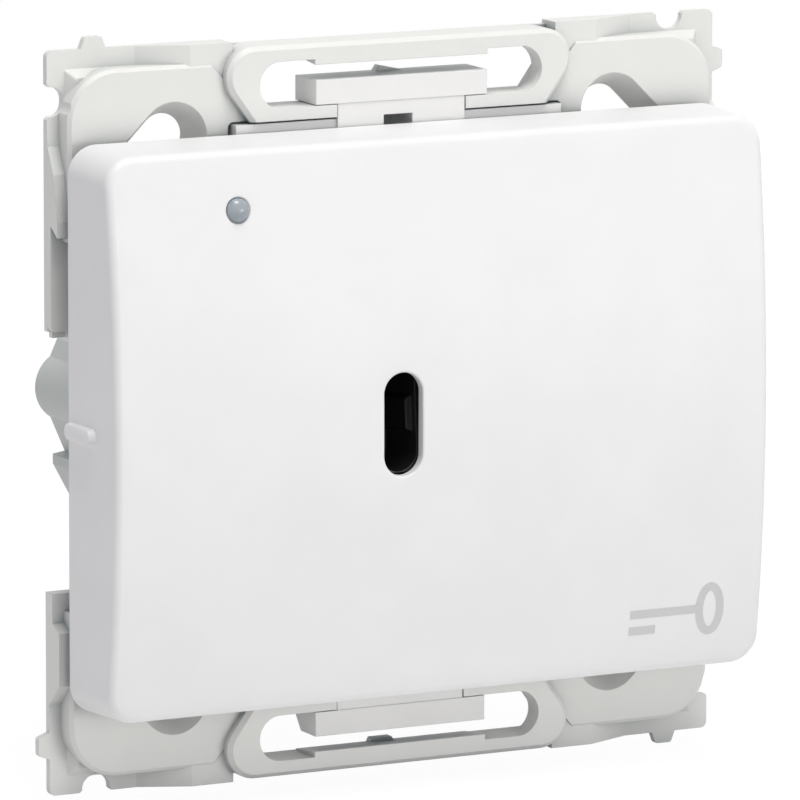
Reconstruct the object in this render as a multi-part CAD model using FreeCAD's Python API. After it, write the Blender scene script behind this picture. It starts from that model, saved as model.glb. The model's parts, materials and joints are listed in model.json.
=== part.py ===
"""Key-operated two-way light switch insert with an indicator lamp, in millimetres.

The front faces -Y, +X is to the right and +Z is up. The origin is the middle of the
support frame's rear face, which lies on the wall.
"""
import FreeCAD, Part
import math
import os
from FreeCAD import Rotation, Vector

os.makedirs("parts", exist_ok=True)

# Cutting bodies run this far past the faces that they open
PAST = 1.0

# Support frame: a square plate of one wall module, with raised pads and bars
FRAME_SIDE = 50.0
FRAME_CORNER_R = 0.45
PLATE_T = 0.5
STEP_T = 1.15
PAD_T = 2.05
BAR_T = 2.9
STEP_INSET = 1.28
STEP_BEVEL = 0.55
STEP_CORNER_R = 0.15
COUPLING_FROM_CORNER = 3.39
TAB_FOOT_HALF_W = 0.9
TAB_CROWN_HALF_W = 0.6
TAB_REACH = 0.79
TAB_CROWN_R = 0.25
NOTCH_R = 1.0
NOTCH_DEPTH = 1.14
NOTCH_MOUTH = 0.17

# The frame's window for the insert: a tall part and a wide part
WINDOW_TALL_W = 25.0
WINDOW_WIDE_H = 24.8
WINDOW_END_MARGIN = 5.3
WINDOW_SIDE_MARGIN = 4.6
WINDOW_CORNER_R = 0.4
WINDOW_GAP = 0.3
WINDOW_TOP_GAP = 0.14

# Box screw slots, one across each diagonal
SCREW_CIRCLE_R = 25.0
SCREW_SLOT_TRAVEL = 3.4
SCREW_HEAD_R = 2.45
SCREW_SHANK_R = 1.45

# Pads and bars
PAD_INSET = 0.85
PAD_TOP_INSET = 1.26
PAD_CORNER_R = 3.5
PAD_BEVEL = 0.25
PAD_TOP_END = 13.8
PAD_UNDER_BAR = 0.85
BAR_TOP_HALF = 14.8
BAR_FOOT_HALF = 11.15
BAR_TOP_INSET = 0.26
BAR_CORNER_SHARE = 0.38
BAR_BEVEL = 0.3
BAR_END_WALL = 0.9
LONG_SLOT_LENGTH = 21.15
LONG_SLOT_H = 3.12
LONG_SLOT_FROM_EDGE = 2.89
LONG_SLOT_LIP = 1.5
SLOT_LIP_STEP = 0.37
CATCH_X = (-1.37, -0.99, 0.46, 0.97)
CATCH_H = 0.38
CATCH_T = 0.7

# The rim ramps up beside each bar, from the plate's level almost to the pads'
RIM_RAMP_X = (15.2, 18.6)
RIM_END_X = 12.1
RIM_T = 1.95
RIM_DEPTH = 3.0

# Side rails, seen beside the cover: heights of their steps, from the top down
RAIL_W = 2.2
RAIL_RIB_T = 2.1
RAIL_RAMP_T = 1.5
RAIL_LOW_T = 1.05
RAIL_UPPER_Z = (20.4, 18.67, 16.89, 13.84, 12.76, 13.46)
RAIL_LOWER_Z = (-13.2, -13.7, -17.3, -18.8, -20.4)
RAIL_EDGE_R = 0.4
SIDE_GAP_TOP = 6.35
SIDE_GAP_BOTTOM = -11.2
SIDE_GAP_DEPTH = 2.0
SIDE_GAP_LEDGE = 0.45
SIDE_LEDGE_INSET = 0.35

# Front cover
COVER_SIDE_GAP = 0.35
COVER_H = 38.0
COVER_REAR_Y = -3.0
COVER_FRONT_Y = -9.9
COVER_ARC_R = 125.0
COVER_ARC_Z = -0.85
COVER_CORNER_R = 2.0
COVER_EDGE_R = 0.55
COVER_DRAFT = 0.26
COVER_WALL = 1.6
COVER_FRONT_WALL = 1.8
NUB_LENGTH = 4.1
NUB_H = 1.2
NUB_PROUD = 0.45
NUB_FOOT_R = 0.35
NUB_BEVEL = 0.25

# Key slot and the lever mechanism behind it
KEY_X = -3.35
KEY_SLOT_W = 2.85
KEY_SLOT_H = 6.8
KEY_SKIN = 0.7
NOSE_GAP = 0.45
NOSE_HALF_H = 4.4
NOSE_WALL = 1.2
NOSE_CHAMFER = 0.6
NOSE_SIDE_ROOM = 0.4
NOSE_SWING_ROOM = 0.7
KEY_DEPTH = 4.4
KEY_FLOOR_T = 0.9
MOUTH_SPARE = 0.35
WARD_H = 2.0
WARD_PROUD = 0.45
WARD_SETBACK = 0.6
WARD_ROOT = 0.2
WARD_FLARE = 0.3
PIVOT_Y = -4.6
LEVER_HALF_TILT = 5.0
TRUNNION_R = 1.0
TRUNNION_FIT = 0.05
EAR_WALL = 1.3
EAR_FLARE = 1.2
CHEEK_T = 1.1
CHEEK_WALL = 0.9
CHEEK_INSET = 0.6
ROCKER_BACK_T = 1.0
EAR_T = 1.5
SIDE_PLAY = 0.15

# Plunger, its spring and the seesaw contact
PLUNGER_REACH = 8.2
PLUNGER_R = 0.95
PLUNGER_HEAD_R = 1.35
PLUNGER_HEAD_T = 0.8
PLUNGER_FIT = 0.06
PLUNGER_STANDS_OUT = 1.6
BARREL_WALL = 0.6
BARREL_LIP = 0.6
SPRING_WIRE_R = 0.15
SPRING_SIDE_GAP = 0.1
SPRING_TURNS = 5
SPRING_WIRE_SIDES = 6
SEAT_GAP = 0.03
SEESAW_GAP = 0.12
SEESAW_T = 0.6
SEESAW_W = 4.0
SEESAW_HALF = 6.3
SEESAW_HALF_TILT = 8.0
SEESAW_EDGE_R = 0.2
CHEEK_H = 1.1
CHEEK_HALF_L = 2.2
CHEEK_TOP_HALF_L = 1.3
CHEEK_STRIP_T = 0.5
TIP_Z = 5.2
TIP_R = 1.1
TIP_T = 0.5
TIP_BEVEL = 0.15
CONTACT_GAP = 0.06

# Insert body (front) with its hanging tongues
INSERT_FRONT_Y = -2.0
INSERT_PLATE_T = 1.4
INSERT_REAR_Y = 3.5
INSERT_WALL = 1.2
INSERT_RIM_Y = -2.65
INSERT_RIM_H = 0.9
TONGUE_HALF_W = 4.75
TONGUE_FRONT_Y = -2.85
TONGUE_T = 1.7
TONGUE_FIT = 0.06
HOOK_HALF_W = 6.45
HOOK_H = 1.66
HOOK_REAR_Y = 0.2
HOOK_SEAT = 0.05
LATCH_H = 0.38
LATCH_T = 0.7
LATCH_X = (-0.73, -0.45, 1.23)
RELEASE_HOLE_W = 2.15
RELEASE_HOLE_H = 1.6
RELEASE_HOLE_X = -0.25
RELEASE_HOLE_DOWN = 1.7

# Cover clips and stand-off posts
CLIP_X = 7.5
CLIP_Z = 16.5
CLIP_W = 4.0
CLIP_T = 1.2
CLIP_BARB = 0.5
CLIP_BARB_L = 1.0
CLIP_PLAY = 0.3
POST_X = 17.0
POST_Z = 8.5
POST_R = 1.5

# Snap legs of the insert body over wedges on the housing
LEG_W = 5.2
LEG_T = 1.2
LEG_GAP = 0.1
LEG_WINDOW_W = 3.2
LEG_BAND = 1.1
SNAP_SETBACK = 3.2
SNAP_LENGTH = 1.1
SNAP_CREST = 0.4
SNAP_PROUD = 0.7
SNAP_W = 3.0
SNAP_FIT = 0.1

# Contact housing and rear cover
BLOCK_HALF_W = 12.0
BLOCK_HALF_H = 15.0
BLOCK_CORNER_R = 0.8
HOUSING_WALL = 1.1
FLANGE_T = 1.4
BUS_DROP = 2.68
CHAMBER_DEPTH = 11.0
WING_HALF_W = 16.6
WING_HALF_H = 11.8
WING_SETBACK = 4.3
SEAT_T = 1.2
LUG_R = 2.5
LUG_PROUD = 0.3
LUG_BEVEL = 0.6
LUG_ARM_SETBACK = 0.6
LUG_HOOK_Z = -5.0
REAR_COVER_T = 1.4
REAR_COVER_CHAMFER = 0.4
PARTITION_T = 0.8
LID_LEG_Z = 8.5
LID_LEG_W = 3.2
LID_LEG_L = 3.6
LID_LEG_T = 0.9
LID_LEG_GAP = 0.1

# Terminals, clamp springs and release levers
BUS_T = 0.8
BUS_BEND_R = 0.3
BUS_INNER_Z = 8.4
BUS_CLEAR = 0.2
TONGUE_LAP = 1.5
CHAMBER_GAP = 0.2
WIRE_R = 1.25
WIRE_SPACING = 5.2
FUNNEL_R = 1.9
FUNNEL_DEPTH = 0.8
GUIDE_WALL = 0.5
GUIDE_L = 1.8
CLAMP_T = 0.35
CLAMP_W = 3.4
CLAMP_BEND_R = 0.5
CLAMP_BACK = 2.9
CLAMP_REACH = 5.65
CLAMP_TIP_GAP = 0.5
CLAMP_BEND_BEHIND = 1.1
LEVER_WALL = 0.2
LEVER_W = 3.4
LEVER_H = 2.2
LEVER_PROUD = 0.5
LEVER_FIT = 0.08
LEVER_END_GAP = 0.05
LEVER_BAR_W = 8.4
LEVER_BAR_T = 1.3
LEVER_NOSE_L = 2.8
LEVER_NOSE_W = 2.4

# Indicator lamp
LAMP_X = -15.08
LAMP_Z = 14.9
LENS_R = 0.865
LENS_FIT = 0.06
LENS_PROUD = 0.28
PIPE_FLANGE_R = 1.6
PIPE_FLANGE_T = 0.6
PIPE_T = 1.1
PIPE_W = 1.8
PIPE_LED_GAP = 0.15
LED_X = -9.5
LED_Z = 11.3
LED_W = 2.8
LED_H = 1.2
LED_BASE_H = 2.0
LED_DOME_R = 0.9
BOARD_T = 0.8
BOARD_W = 6.6
BOARD_H = 9.0
BOARD_DROP = 1.5
BOARD_STAND = 0.8
BOARD_POST_R = 0.9
BOARD_POST_IN = 1.5
RESISTOR_R = 0.7
RESISTOR_L = 3.2
DIODE_R = 0.55
DIODE_L = 2.4
LEG_WIRE_R = 0.22
LEAD_R = 0.3
WIRE_SIDES = 6
LEAD_FIT = 0.05
LEAD_FROM_EDGE = 1.1

# Sizes that follow from the ones above
HALF = FRAME_SIDE / 2
WINDOW_TALL_H = FRAME_SIDE - 2 * WINDOW_END_MARGIN
WINDOW_WIDE_W = FRAME_SIDE - 2 * WINDOW_SIDE_MARGIN
BAR_TOP = HALF - BAR_TOP_INSET
BAR_LEAN = (BAR_TOP_HALF - BAR_FOOT_HALF) / (BAR_TOP - WINDOW_TALL_H / 2)
COVER_W = FRAME_SIDE - 2 * COVER_SIDE_GAP
LONG_SLOT_Z = HALF - LONG_SLOT_FROM_EDGE
LONG_SLOT_FOOT = LONG_SLOT_Z - LONG_SLOT_H / 2
INSERT_PLATE_REAR = INSERT_FRONT_Y + INSERT_PLATE_T
INSERT_TOP = WINDOW_TALL_H / 2 - WINDOW_TOP_GAP
COVER_INNER_Y = COVER_FRONT_Y + COVER_FRONT_WALL
NOSE_FRONT_Y = COVER_FRONT_Y + KEY_SKIN + NOSE_GAP
NOSE_HALF_W = KEY_SLOT_W / 2 + NOSE_WALL
KEY_BLOCK_REAR = NOSE_FRONT_Y + KEY_DEPTH + KEY_FLOOR_T
TIP_REST_Y = PIVOT_Y + PLUNGER_REACH
BARREL_END_Y = TIP_REST_Y - PLUNGER_STANDS_OUT
BARREL_NECK_Y = BARREL_END_Y - BARREL_LIP
SEESAW_FRONT_Y = TIP_REST_Y + SEESAW_GAP
SEESAW_PIVOT_Y = SEESAW_FRONT_Y + SEESAW_T
FIXED_TIP_Y = SEESAW_PIVOT_Y + TIP_T + CONTACT_GAP
BUS_FRONT_Y = SEESAW_PIVOT_Y + BUS_DROP
BLOCK_FRONT_Y = INSERT_REAR_Y
BLOCK_REAR_Y = BUS_FRONT_Y + CHAMBER_DEPTH
BUS_REAR_Y = BLOCK_REAR_Y - GUIDE_L - SNAP_FIT
WING_REAR_Y = BLOCK_REAR_Y - WING_SETBACK
CAVITY_HALF_W = BLOCK_HALF_W - HOUSING_WALL
CAVITY_HALF_H = BLOCK_HALF_H - HOUSING_WALL
BUS_OUTER_Z = CAVITY_HALF_H - BUS_CLEAR
WIRE_Z = BUS_OUTER_Z - BUS_T - WIRE_R - CHAMBER_GAP
LEVER_Z = WIRE_Z - WIRE_R - GUIDE_WALL - LEVER_WALL - LEVER_H / 2
CHAMBER_X = (CAVITY_HALF_W + PARTITION_T / 2) / 2
BUS_HALF_W = (CAVITY_HALF_W - PARTITION_T / 2) / 2 - BUS_CLEAR
CLAMP_INNER_Z = LEVER_Z - CLAMP_BACK
LEVER_SHOULDER_Y = BLOCK_REAR_Y - LEVER_END_GAP
LEVER_TIP_Y = LEVER_SHOULDER_Y - LEVER_NOSE_L
CLAMP_BEND_Y = LEVER_TIP_Y + CLAMP_BEND_BEHIND
SNAP_Y = BLOCK_FRONT_Y + SNAP_SETBACK
BOARD_REAR_Y = INSERT_FRONT_Y - BOARD_STAND
BOARD_FRONT_Y = BOARD_REAR_Y - BOARD_T
BOARD_Z = LED_Z - BOARD_DROP

X_AXIS = Vector(1, 0, 0)
Y_AXIS = Vector(0, 1, 0)
Z_AXIS = Vector(0, 0, 1)


def rounded_wire(corners, place):
    """Closed wire through (u, v, radius) corners; place turns (u, v) into a point."""
    count = len(corners)
    starts, ends, middles = [], [], []
    for index, (u, v, radius) in enumerate(corners):
        here = Vector(u, v, 0)
        before = Vector(*corners[index - 1][:2], 0) - here
        after = Vector(*corners[(index + 1) % count][:2], 0) - here
        before.normalize()
        after.normalize()
        half = before.getAngle(after) / 2
        if radius <= 0 or half > math.pi / 2 - 1e-4:
            starts.append(here)
            ends.append(here)
            middles.append(None)
            continue
        back = radius / math.tan(half)
        inward = before + after
        inward.normalize()
        starts.append(here + before * back)
        ends.append(here + after * back)
        middles.append(here + inward * (radius / math.sin(half) - radius))
    edges = []
    for index in range(count):
        if middles[index] is not None:
            arc = Part.Arc(*(place(p.x, p.y) for p in (starts[index], middles[index], ends[index])))
            edges.append(arc.toShape())
        nearest = starts[(index + 1) % count]
        if ends[index].distanceToPoint(nearest) > 1e-6:
            edges.append(Part.makeLine(place(ends[index].x, ends[index].y), place(nearest.x, nearest.y)))
    return Part.Wire(edges)


def front_wire(corners, y):
    """Outline seen from the front, (x, z, radius) corners at depth y."""
    return rounded_wire(corners, lambda u, v: Vector(u, y, v))


def front_slab(corners, y0, y1):
    """Front outline given a thickness from y0 to y1."""
    return Part.Face(front_wire(corners, y0)).extrude(Vector(0, y1 - y0, 0))


def side_slab(corners, x0, x1):
    """Side outline of (y, z, radius) corners, extruded from x0 to x1."""
    wire = rounded_wire(corners, lambda u, v: Vector(x0, u, v))
    return Part.Face(wire).extrude(Vector(x1 - x0, 0, 0))


def top_slab(corners, z0, z1):
    """Outline seen from above, of (x, y, radius) corners, extruded from z0 to z1."""
    wire = rounded_wire(corners, lambda u, v: Vector(u, v, z0))
    return Part.Face(wire).extrude(Vector(0, 0, z1 - z0))


def rectangle(half_w, half_h, radius=0.0, cx=0.0, cz=0.0):
    """Corners of an upright rectangle about (cx, cz)."""
    return [(cx - half_w, cz - half_h, radius), (cx + half_w, cz - half_h, radius),
            (cx + half_w, cz + half_h, radius), (cx - half_w, cz + half_h, radius)]


def plate_block(half_w, half_h, y0, y1, radius=0.0, cx=0.0, cz=0.0):
    """Upright rectangular slab."""
    return front_slab(rectangle(half_w, half_h, radius, cx, cz), y0, y1)


def rod(radius, start, end):
    """Round bar between two points."""
    along = end - start
    return Part.makeCylinder(radius, along.Length, start, along)


def obround_wire(cx, cz, travel, radius, y, angle=90.0):
    """Slot outline: two half circles of the radius, their centres a travel apart."""
    a = math.radians(angle)
    u = Vector(math.cos(a), 0, math.sin(a))
    n = Vector(-math.sin(a), 0, math.cos(a))
    middle = Vector(cx, y, cz)
    p, q = middle + u * (travel / 2), middle - u * (travel / 2)
    return Part.Wire([
        Part.Arc(p - n * radius, p + u * radius, p + n * radius).toShape(),
        Part.makeLine(p + n * radius, q + n * radius),
        Part.Arc(q + n * radius, q - u * radius, q - n * radius).toShape(),
        Part.makeLine(q - n * radius, p - n * radius)])


def obround(cx, cz, travel, radius, y0, y1, angle=90.0):
    """Straight-sided slot body."""
    face = Part.Face(obround_wire(cx, cz, travel, radius, y0, angle))
    return face.extrude(Vector(0, y1 - y0, 0))


def tilted(shape, degrees, y):
    """Copy turned about a cross axis at depth y; a positive turn lowers the front."""
    copy = shape.copy()
    copy.rotate(Vector(0, y, 0), X_AXIS, degrees)
    return copy


def flipped_in_z(shape):
    """Copy mirrored top to bottom."""
    return shape.mirror(Vector(0, 0, 0), Z_AXIS)


def flipped_in_x(shape):
    """Copy mirrored left to right."""
    return shape.mirror(Vector(0, 0, 0), X_AXIS)


def half_turn(shape):
    """Copy turned upside down about the depth axis."""
    copy = shape.copy()
    copy.rotate(Vector(0, 0, 0), Y_AXIS, 180)
    return copy


def joined(*shapes):
    """One solid from overlapping or touching shapes."""
    first = shapes[0]
    return first.fuse(list(shapes[1:])).removeSplitter() if len(shapes) > 1 else first


def bent_strip(path, thickness, bend_r, x0, x1):
    """Sheet strip along a (y, z) path; its thickness lies to the right of the path."""
    near, far = [], []
    last = len(path) - 1
    for index, (y, z) in enumerate(path):
        here = Vector(y, z, 0)
        incoming = here - Vector(*path[index - 1], 0) if index else Vector(*path[1], 0) - here
        outgoing = Vector(*path[index + 1], 0) - here if index < last else incoming
        incoming.normalize()
        outgoing.normalize()
        right_in = Vector(incoming.y, -incoming.x, 0)
        right_out = Vector(outgoing.y, -outgoing.x, 0)
        mitre = right_in + right_out
        mitre.normalize()
        offset = here + mitre * (thickness / mitre.dot(right_in))
        turn = incoming.x * outgoing.y - incoming.y * outgoing.x
        inner_end = 0 < index < last
        near_r = bend_r + (thickness if turn > 0 else 0)
        far_r = bend_r + (0 if turn > 0 else thickness)
        near.append((y, z, near_r if inner_end else 0))
        far.append((offset.x, offset.y, far_r if inner_end else 0))
    return side_slab(near + far[::-1], x0, x1)


def plus_outline(tall_half_w, tall_half_h, wide_half_w, wide_half_h, y0, y1, radius=0.0):
    """Tall rectangle crossed by a wide one."""
    return joined(plate_block(tall_half_w, tall_half_h, y0, y1, radius),
                  plate_block(wide_half_w, wide_half_h, y0, y1, radius))


def coupling_tab():
    """Tapered tab on the top edge that locks into a neighbour's notch."""
    x = -HALF + COUPLING_FROM_CORNER
    foot, crown, root = TAB_FOOT_HALF_W, TAB_CROWN_HALF_W, HALF - STEP_INSET
    return front_slab([(x - foot, root, 0), (x + foot, root, 0), (x + foot, HALF, 0),
                       (x + crown, HALF + TAB_REACH, TAB_CROWN_R), (x - crown, HALF + TAB_REACH, TAB_CROWN_R),
                       (x - foot, HALF, 0)], -PLATE_T, 0)


def coupling_notch():
    """Round notch at the other end of the top edge."""
    x = HALF - COUPLING_FROM_CORNER
    floor, neck, top = HALF - NOTCH_DEPTH, HALF - NOTCH_MOUTH, HALF + NOTCH_MOUTH
    mouth = NOTCH_R + 2 * NOTCH_MOUTH
    round_r = min(NOTCH_R, NOTCH_DEPTH - NOTCH_MOUTH) * 0.9
    return front_slab([(x - NOTCH_R, floor, round_r), (x + NOTCH_R, floor, round_r), (x + NOTCH_R, neck, 0),
                       (x + mouth, top, 0), (x - mouth, top, 0), (x - NOTCH_R, neck, 0)], -BAR_T - PAST, PAST)


def screw_slot():
    """Countersunk slot across the top left diagonal, for a screw into the wall box."""
    centre = SCREW_CIRCLE_R / math.sqrt(2)
    slope = (SCREW_HEAD_R - SCREW_SHANK_R) / PAD_T
    ends = ((SCREW_HEAD_R + slope * PAST, -PAD_T - PAST), (SCREW_SHANK_R - slope * PAST / 2, PAST / 2))
    wires = [obround_wire(-centre, centre, SCREW_SLOT_TRAVEL, radius, y, 45) for radius, y in ends]
    return Part.makeLoft(wires, True, True)


def side_rail(levels):
    """Left edge rail from a list of (z, thickness) levels, top to bottom."""
    corners = [(-thickness, z, 0) for z, thickness in levels]
    top, bottom = levels[0][0], levels[-1][0]
    return side_slab(corners + [(0, bottom, 0), (0, top, 0)], -HALF, -HALF + RAIL_W)


def upper_rail():
    """Left rail above the side gap, with a rounded corner where the gap begins."""
    levels = (PLATE_T, PLATE_T * 1.2, RAIL_RAMP_T, RAIL_RIB_T, RAIL_RIB_T, RAIL_LOW_T)
    rail = side_rail(list(zip(RAIL_UPPER_Z, levels)) + [(SIDE_GAP_TOP, RAIL_LOW_T)])
    left, right = -HALF, -HALF + RAIL_W
    return rail.common(front_slab([(left, SIDE_GAP_TOP, RAIL_EDGE_R), (right, SIDE_GAP_TOP, 0),
                                   (right, HALF, 0), (left, HALF, 0)], -RAIL_RIB_T - PAST, 0))


def frame_step():
    """Middle level of the frame, with its bevelled border."""
    outer = HALF - STEP_INSET
    inner = outer - STEP_BEVEL
    wires = [front_wire(rectangle(outer, outer, STEP_CORNER_R), -PLATE_T),
             front_wire(rectangle(inner, inner, STEP_CORNER_R), -STEP_T)]
    return Part.makeLoft(wires, True, True)


def frame_pad():
    """Top left pad that carries a screw slot."""
    left, top = -HALF + PAD_INSET, HALF - PAD_TOP_INSET
    foot, inner = WINDOW_WIDE_H / 2, -BAR_FOOT_HALF + PAD_UNDER_BAR
    pad = front_slab([(-PAD_TOP_END, top, 0), (left, top, PAD_CORNER_R),
                      (left, foot, 0), (inner, foot, 0), (inner, WINDOW_TALL_H / 2, 0)], -PAD_T, 0)
    border = [edge for edge in pad.Edges if edge.BoundBox.YMax < -PAD_T / 2
              and (edge.BoundBox.XMax < left + PAD_CORNER_R + PAD_BEVEL or edge.BoundBox.ZMin > top - PAD_BEVEL)]
    return pad.makeChamfer(PAD_BEVEL, border)


def frame_rim():
    """Rim above the top left pad, which ramps up towards the bar."""
    low, high = RIM_RAMP_X
    return top_slab([(-high, -PLATE_T, 0), (-low, -RIM_T, 0), (-RIM_END_X, -RIM_T, 0), (-RIM_END_X, 0, 0),
                     (-high, 0, 0)], HALF - RIM_DEPTH, HALF)


def frame_bar():
    """Top bar that the insert hangs in, with its front edges bevelled."""
    foot, corner_r = WINDOW_TALL_H / 2, BAR_CORNER_SHARE * WINDOW_END_MARGIN
    bar = front_slab([(-BAR_FOOT_HALF, foot, 0), (BAR_FOOT_HALF, foot, 0), (BAR_TOP_HALF, BAR_TOP, corner_r),
                      (-BAR_TOP_HALF, BAR_TOP, corner_r)], -BAR_T, 0)
    front_rim = [edge for edge in bar.Edges if edge.BoundBox.YMax < -BAR_T / 2 and edge.BoundBox.ZMax > foot + PAST]
    return bar.makeChamfer(BAR_BEVEL, front_rim)


def bar_cuts():
    """Long slot, its wider rear pocket and the notch for the insert's tongue, all in the top bar."""
    lip_rear = -BAR_T + LONG_SLOT_LIP
    top = LONG_SLOT_FOOT + LONG_SLOT_H
    front, rear, rear_step = -BAR_T - 2 * PAST, 2 * PAST, SLOT_LIP_STEP / 6
    fall = (SLOT_LIP_STEP - rear_step) / BAR_T
    latch_step = side_slab([(front, top - rear_step + fall * front, 0), (rear, top - rear_step + fall * rear, 0),
                            (rear, BAR_TOP, 0), (front, BAR_TOP, 0)], -HOOK_HALF_W, HOOK_HALF_W)
    slot = obround(0, LONG_SLOT_Z, LONG_SLOT_LENGTH - LONG_SLOT_H, LONG_SLOT_H / 2, -BAR_T - PAST, lip_rear, 0)
    foot = BAR_FOOT_HALF - BAR_END_WALL
    head = foot + BAR_LEAN * LONG_SLOT_H
    pocket = front_slab([(-foot, LONG_SLOT_FOOT, 0), (foot, LONG_SLOT_FOOT, 0), (head, top, 0), (-head, top, 0)],
                        lip_rear, PAST)
    bridge = LONG_SLOT_FOOT - WINDOW_TALL_H / 2
    tongue_rear = TONGUE_FRONT_Y + TONGUE_T + HOOK_SEAT
    notch = plate_block(TONGUE_HALF_W + TONGUE_FIT, bridge, -BAR_T - PAST, tongue_rear, 0,
                        0, LONG_SLOT_FOOT - bridge / 2)
    edge = plate_block(RIM_END_X, BAR_TOP_INSET, -BAR_T - PAST, PAST, 0, 0, HALF)
    return [slot.cut(latch_step), pocket.cut(latch_step), notch, edge]


def frame_catch():
    """Small catch in the lower bar's slot, under the insert's lower hook."""
    edge = -LONG_SLOT_FOOT - LONG_SLOT_H
    left, crest_left, crest_right, right = CATCH_X
    return front_slab([(left, edge - SLOT_LIP_STEP, 0), (right, edge - SLOT_LIP_STEP, 0),
                       (crest_right, edge + CATCH_H, 0), (crest_left, edge + CATCH_H, 0)], -CATCH_T, 0)


def support_frame():
    """Moulded frame that screws to the wall box and couples to its neighbours."""
    plate = plate_block(HALF, HALF, -PLATE_T, 0, FRAME_CORNER_R)
    lower_levels = (RAIL_LOW_T, RAIL_RIB_T, RAIL_RIB_T, PLATE_T, PLATE_T)
    lower_rail = side_rail([(SIDE_GAP_BOTTOM, RAIL_LOW_T)] + list(zip(RAIL_LOWER_Z, lower_levels)))
    levels = [plate, frame_step()]
    for rail in (upper_rail(), lower_rail):
        levels += [rail, half_turn(rail)]
    tab, notch, slot = coupling_tab(), coupling_notch(), screw_slot()
    for turn in range(4):
        turned = tab.copy()
        turned.rotate(Vector(0, 0, 0), Y_AXIS, 90 * turn)
        levels.append(turned)
    bar = frame_bar()
    levels += [bar, half_turn(bar)]
    for piece in (frame_pad(), frame_rim()):
        levels += [piece, flipped_in_x(piece), flipped_in_z(piece), half_turn(piece)]
    frame = joined(*levels)
    cuts = []
    for turn in range(4):
        turned = notch.copy()
        turned.rotate(Vector(0, 0, 0), Y_AXIS, 90 * turn)
        cuts.append(turned)
    cuts += [slot, flipped_in_x(slot), flipped_in_z(slot), half_turn(slot)]
    for cut in bar_cuts():
        cuts += [cut, half_turn(cut)]
    for window_w, window_h in ((WINDOW_TALL_W, WINDOW_TALL_H), (WINDOW_WIDE_W, WINDOW_WIDE_H)):
        cuts.append(plate_block(window_w / 2, window_h / 2, -BAR_T - PAST, PAST, WINDOW_CORNER_R))
    gap_h = SIDE_GAP_TOP - SIDE_GAP_LEDGE - SIDE_GAP_BOTTOM
    for depth, height in ((SIDE_GAP_DEPTH, gap_h), (SIDE_LEDGE_INSET, gap_h + SIDE_GAP_LEDGE)):
        gap = plate_block(depth, height / 2, -BAR_T, PAST, 0, -HALF, SIDE_GAP_BOTTOM + height / 2)
        cuts += [gap, half_turn(gap)]
    return joined(frame.cut(cuts), frame_catch())


def cover_arc_y(z, depth=0.0):
    """Depth of the cover's curved front at height z, a skin depth below its surface."""
    radius = COVER_ARC_R - depth
    return COVER_FRONT_Y + COVER_ARC_R - math.sqrt(radius ** 2 - (z - COVER_ARC_Z) ** 2)


def cover_body(skin, rear_y):
    """Solid under the cover's curved front, shrunk by a skin; its four sides lean in."""
    wall = skin * COVER_WALL / COVER_FRONT_WALL
    half_w, half_h = COVER_W / 2 - wall, COVER_H / 2 - wall
    far = COVER_FRONT_Y - 2 * PAST
    slope = COVER_DRAFT / (COVER_REAR_Y - COVER_FRONT_Y)
    front, rear = slope * (COVER_REAR_Y - far), slope * (COVER_REAR_Y - rear_y)
    sides = side_slab([(rear_y, rear - half_h, 0), (far, front - half_h, 0), (far, half_h - front, 0),
                       (rear_y, half_h - rear, 0)], -COVER_W, COVER_W)
    sides = sides.common(top_slab([(rear - half_w, rear_y, 0), (half_w - rear, rear_y, 0),
                                   (half_w - front, far, 0), (front - half_w, far, 0)], -COVER_H, COVER_H))
    corners = [edge for edge in sides.Edges if edge.BoundBox.YLength > PAST]
    sides = sides.makeFillet(max(COVER_CORNER_R - wall, WINDOW_CORNER_R), corners)
    drum = rod(COVER_ARC_R - skin, Vector(-COVER_W, COVER_FRONT_Y + COVER_ARC_R, COVER_ARC_Z),
               Vector(COVER_W, COVER_FRONT_Y + COVER_ARC_R, COVER_ARC_Z))
    return sides.common(drum)


def cover_clip():
    """Snap leg behind the cover, top right, with its barb under the insert's plate."""
    inner, outer = CLIP_Z - CLIP_T / 2, CLIP_Z + CLIP_T / 2
    ledge = INSERT_PLATE_REAR + HOOK_SEAT
    tip = ledge + CLIP_BARB_L
    root = cover_arc_y(CLIP_Z) + COVER_FRONT_WALL / 2
    return side_slab([(root, inner, 0), (tip, inner, 0), (tip, outer - CLIP_T / 4, 0),
                      (ledge, outer + CLIP_BARB, 0), (ledge, outer, 0), (root, outer, 0)],
                     CLIP_X - CLIP_W / 2, CLIP_X + CLIP_W / 2)


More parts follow.
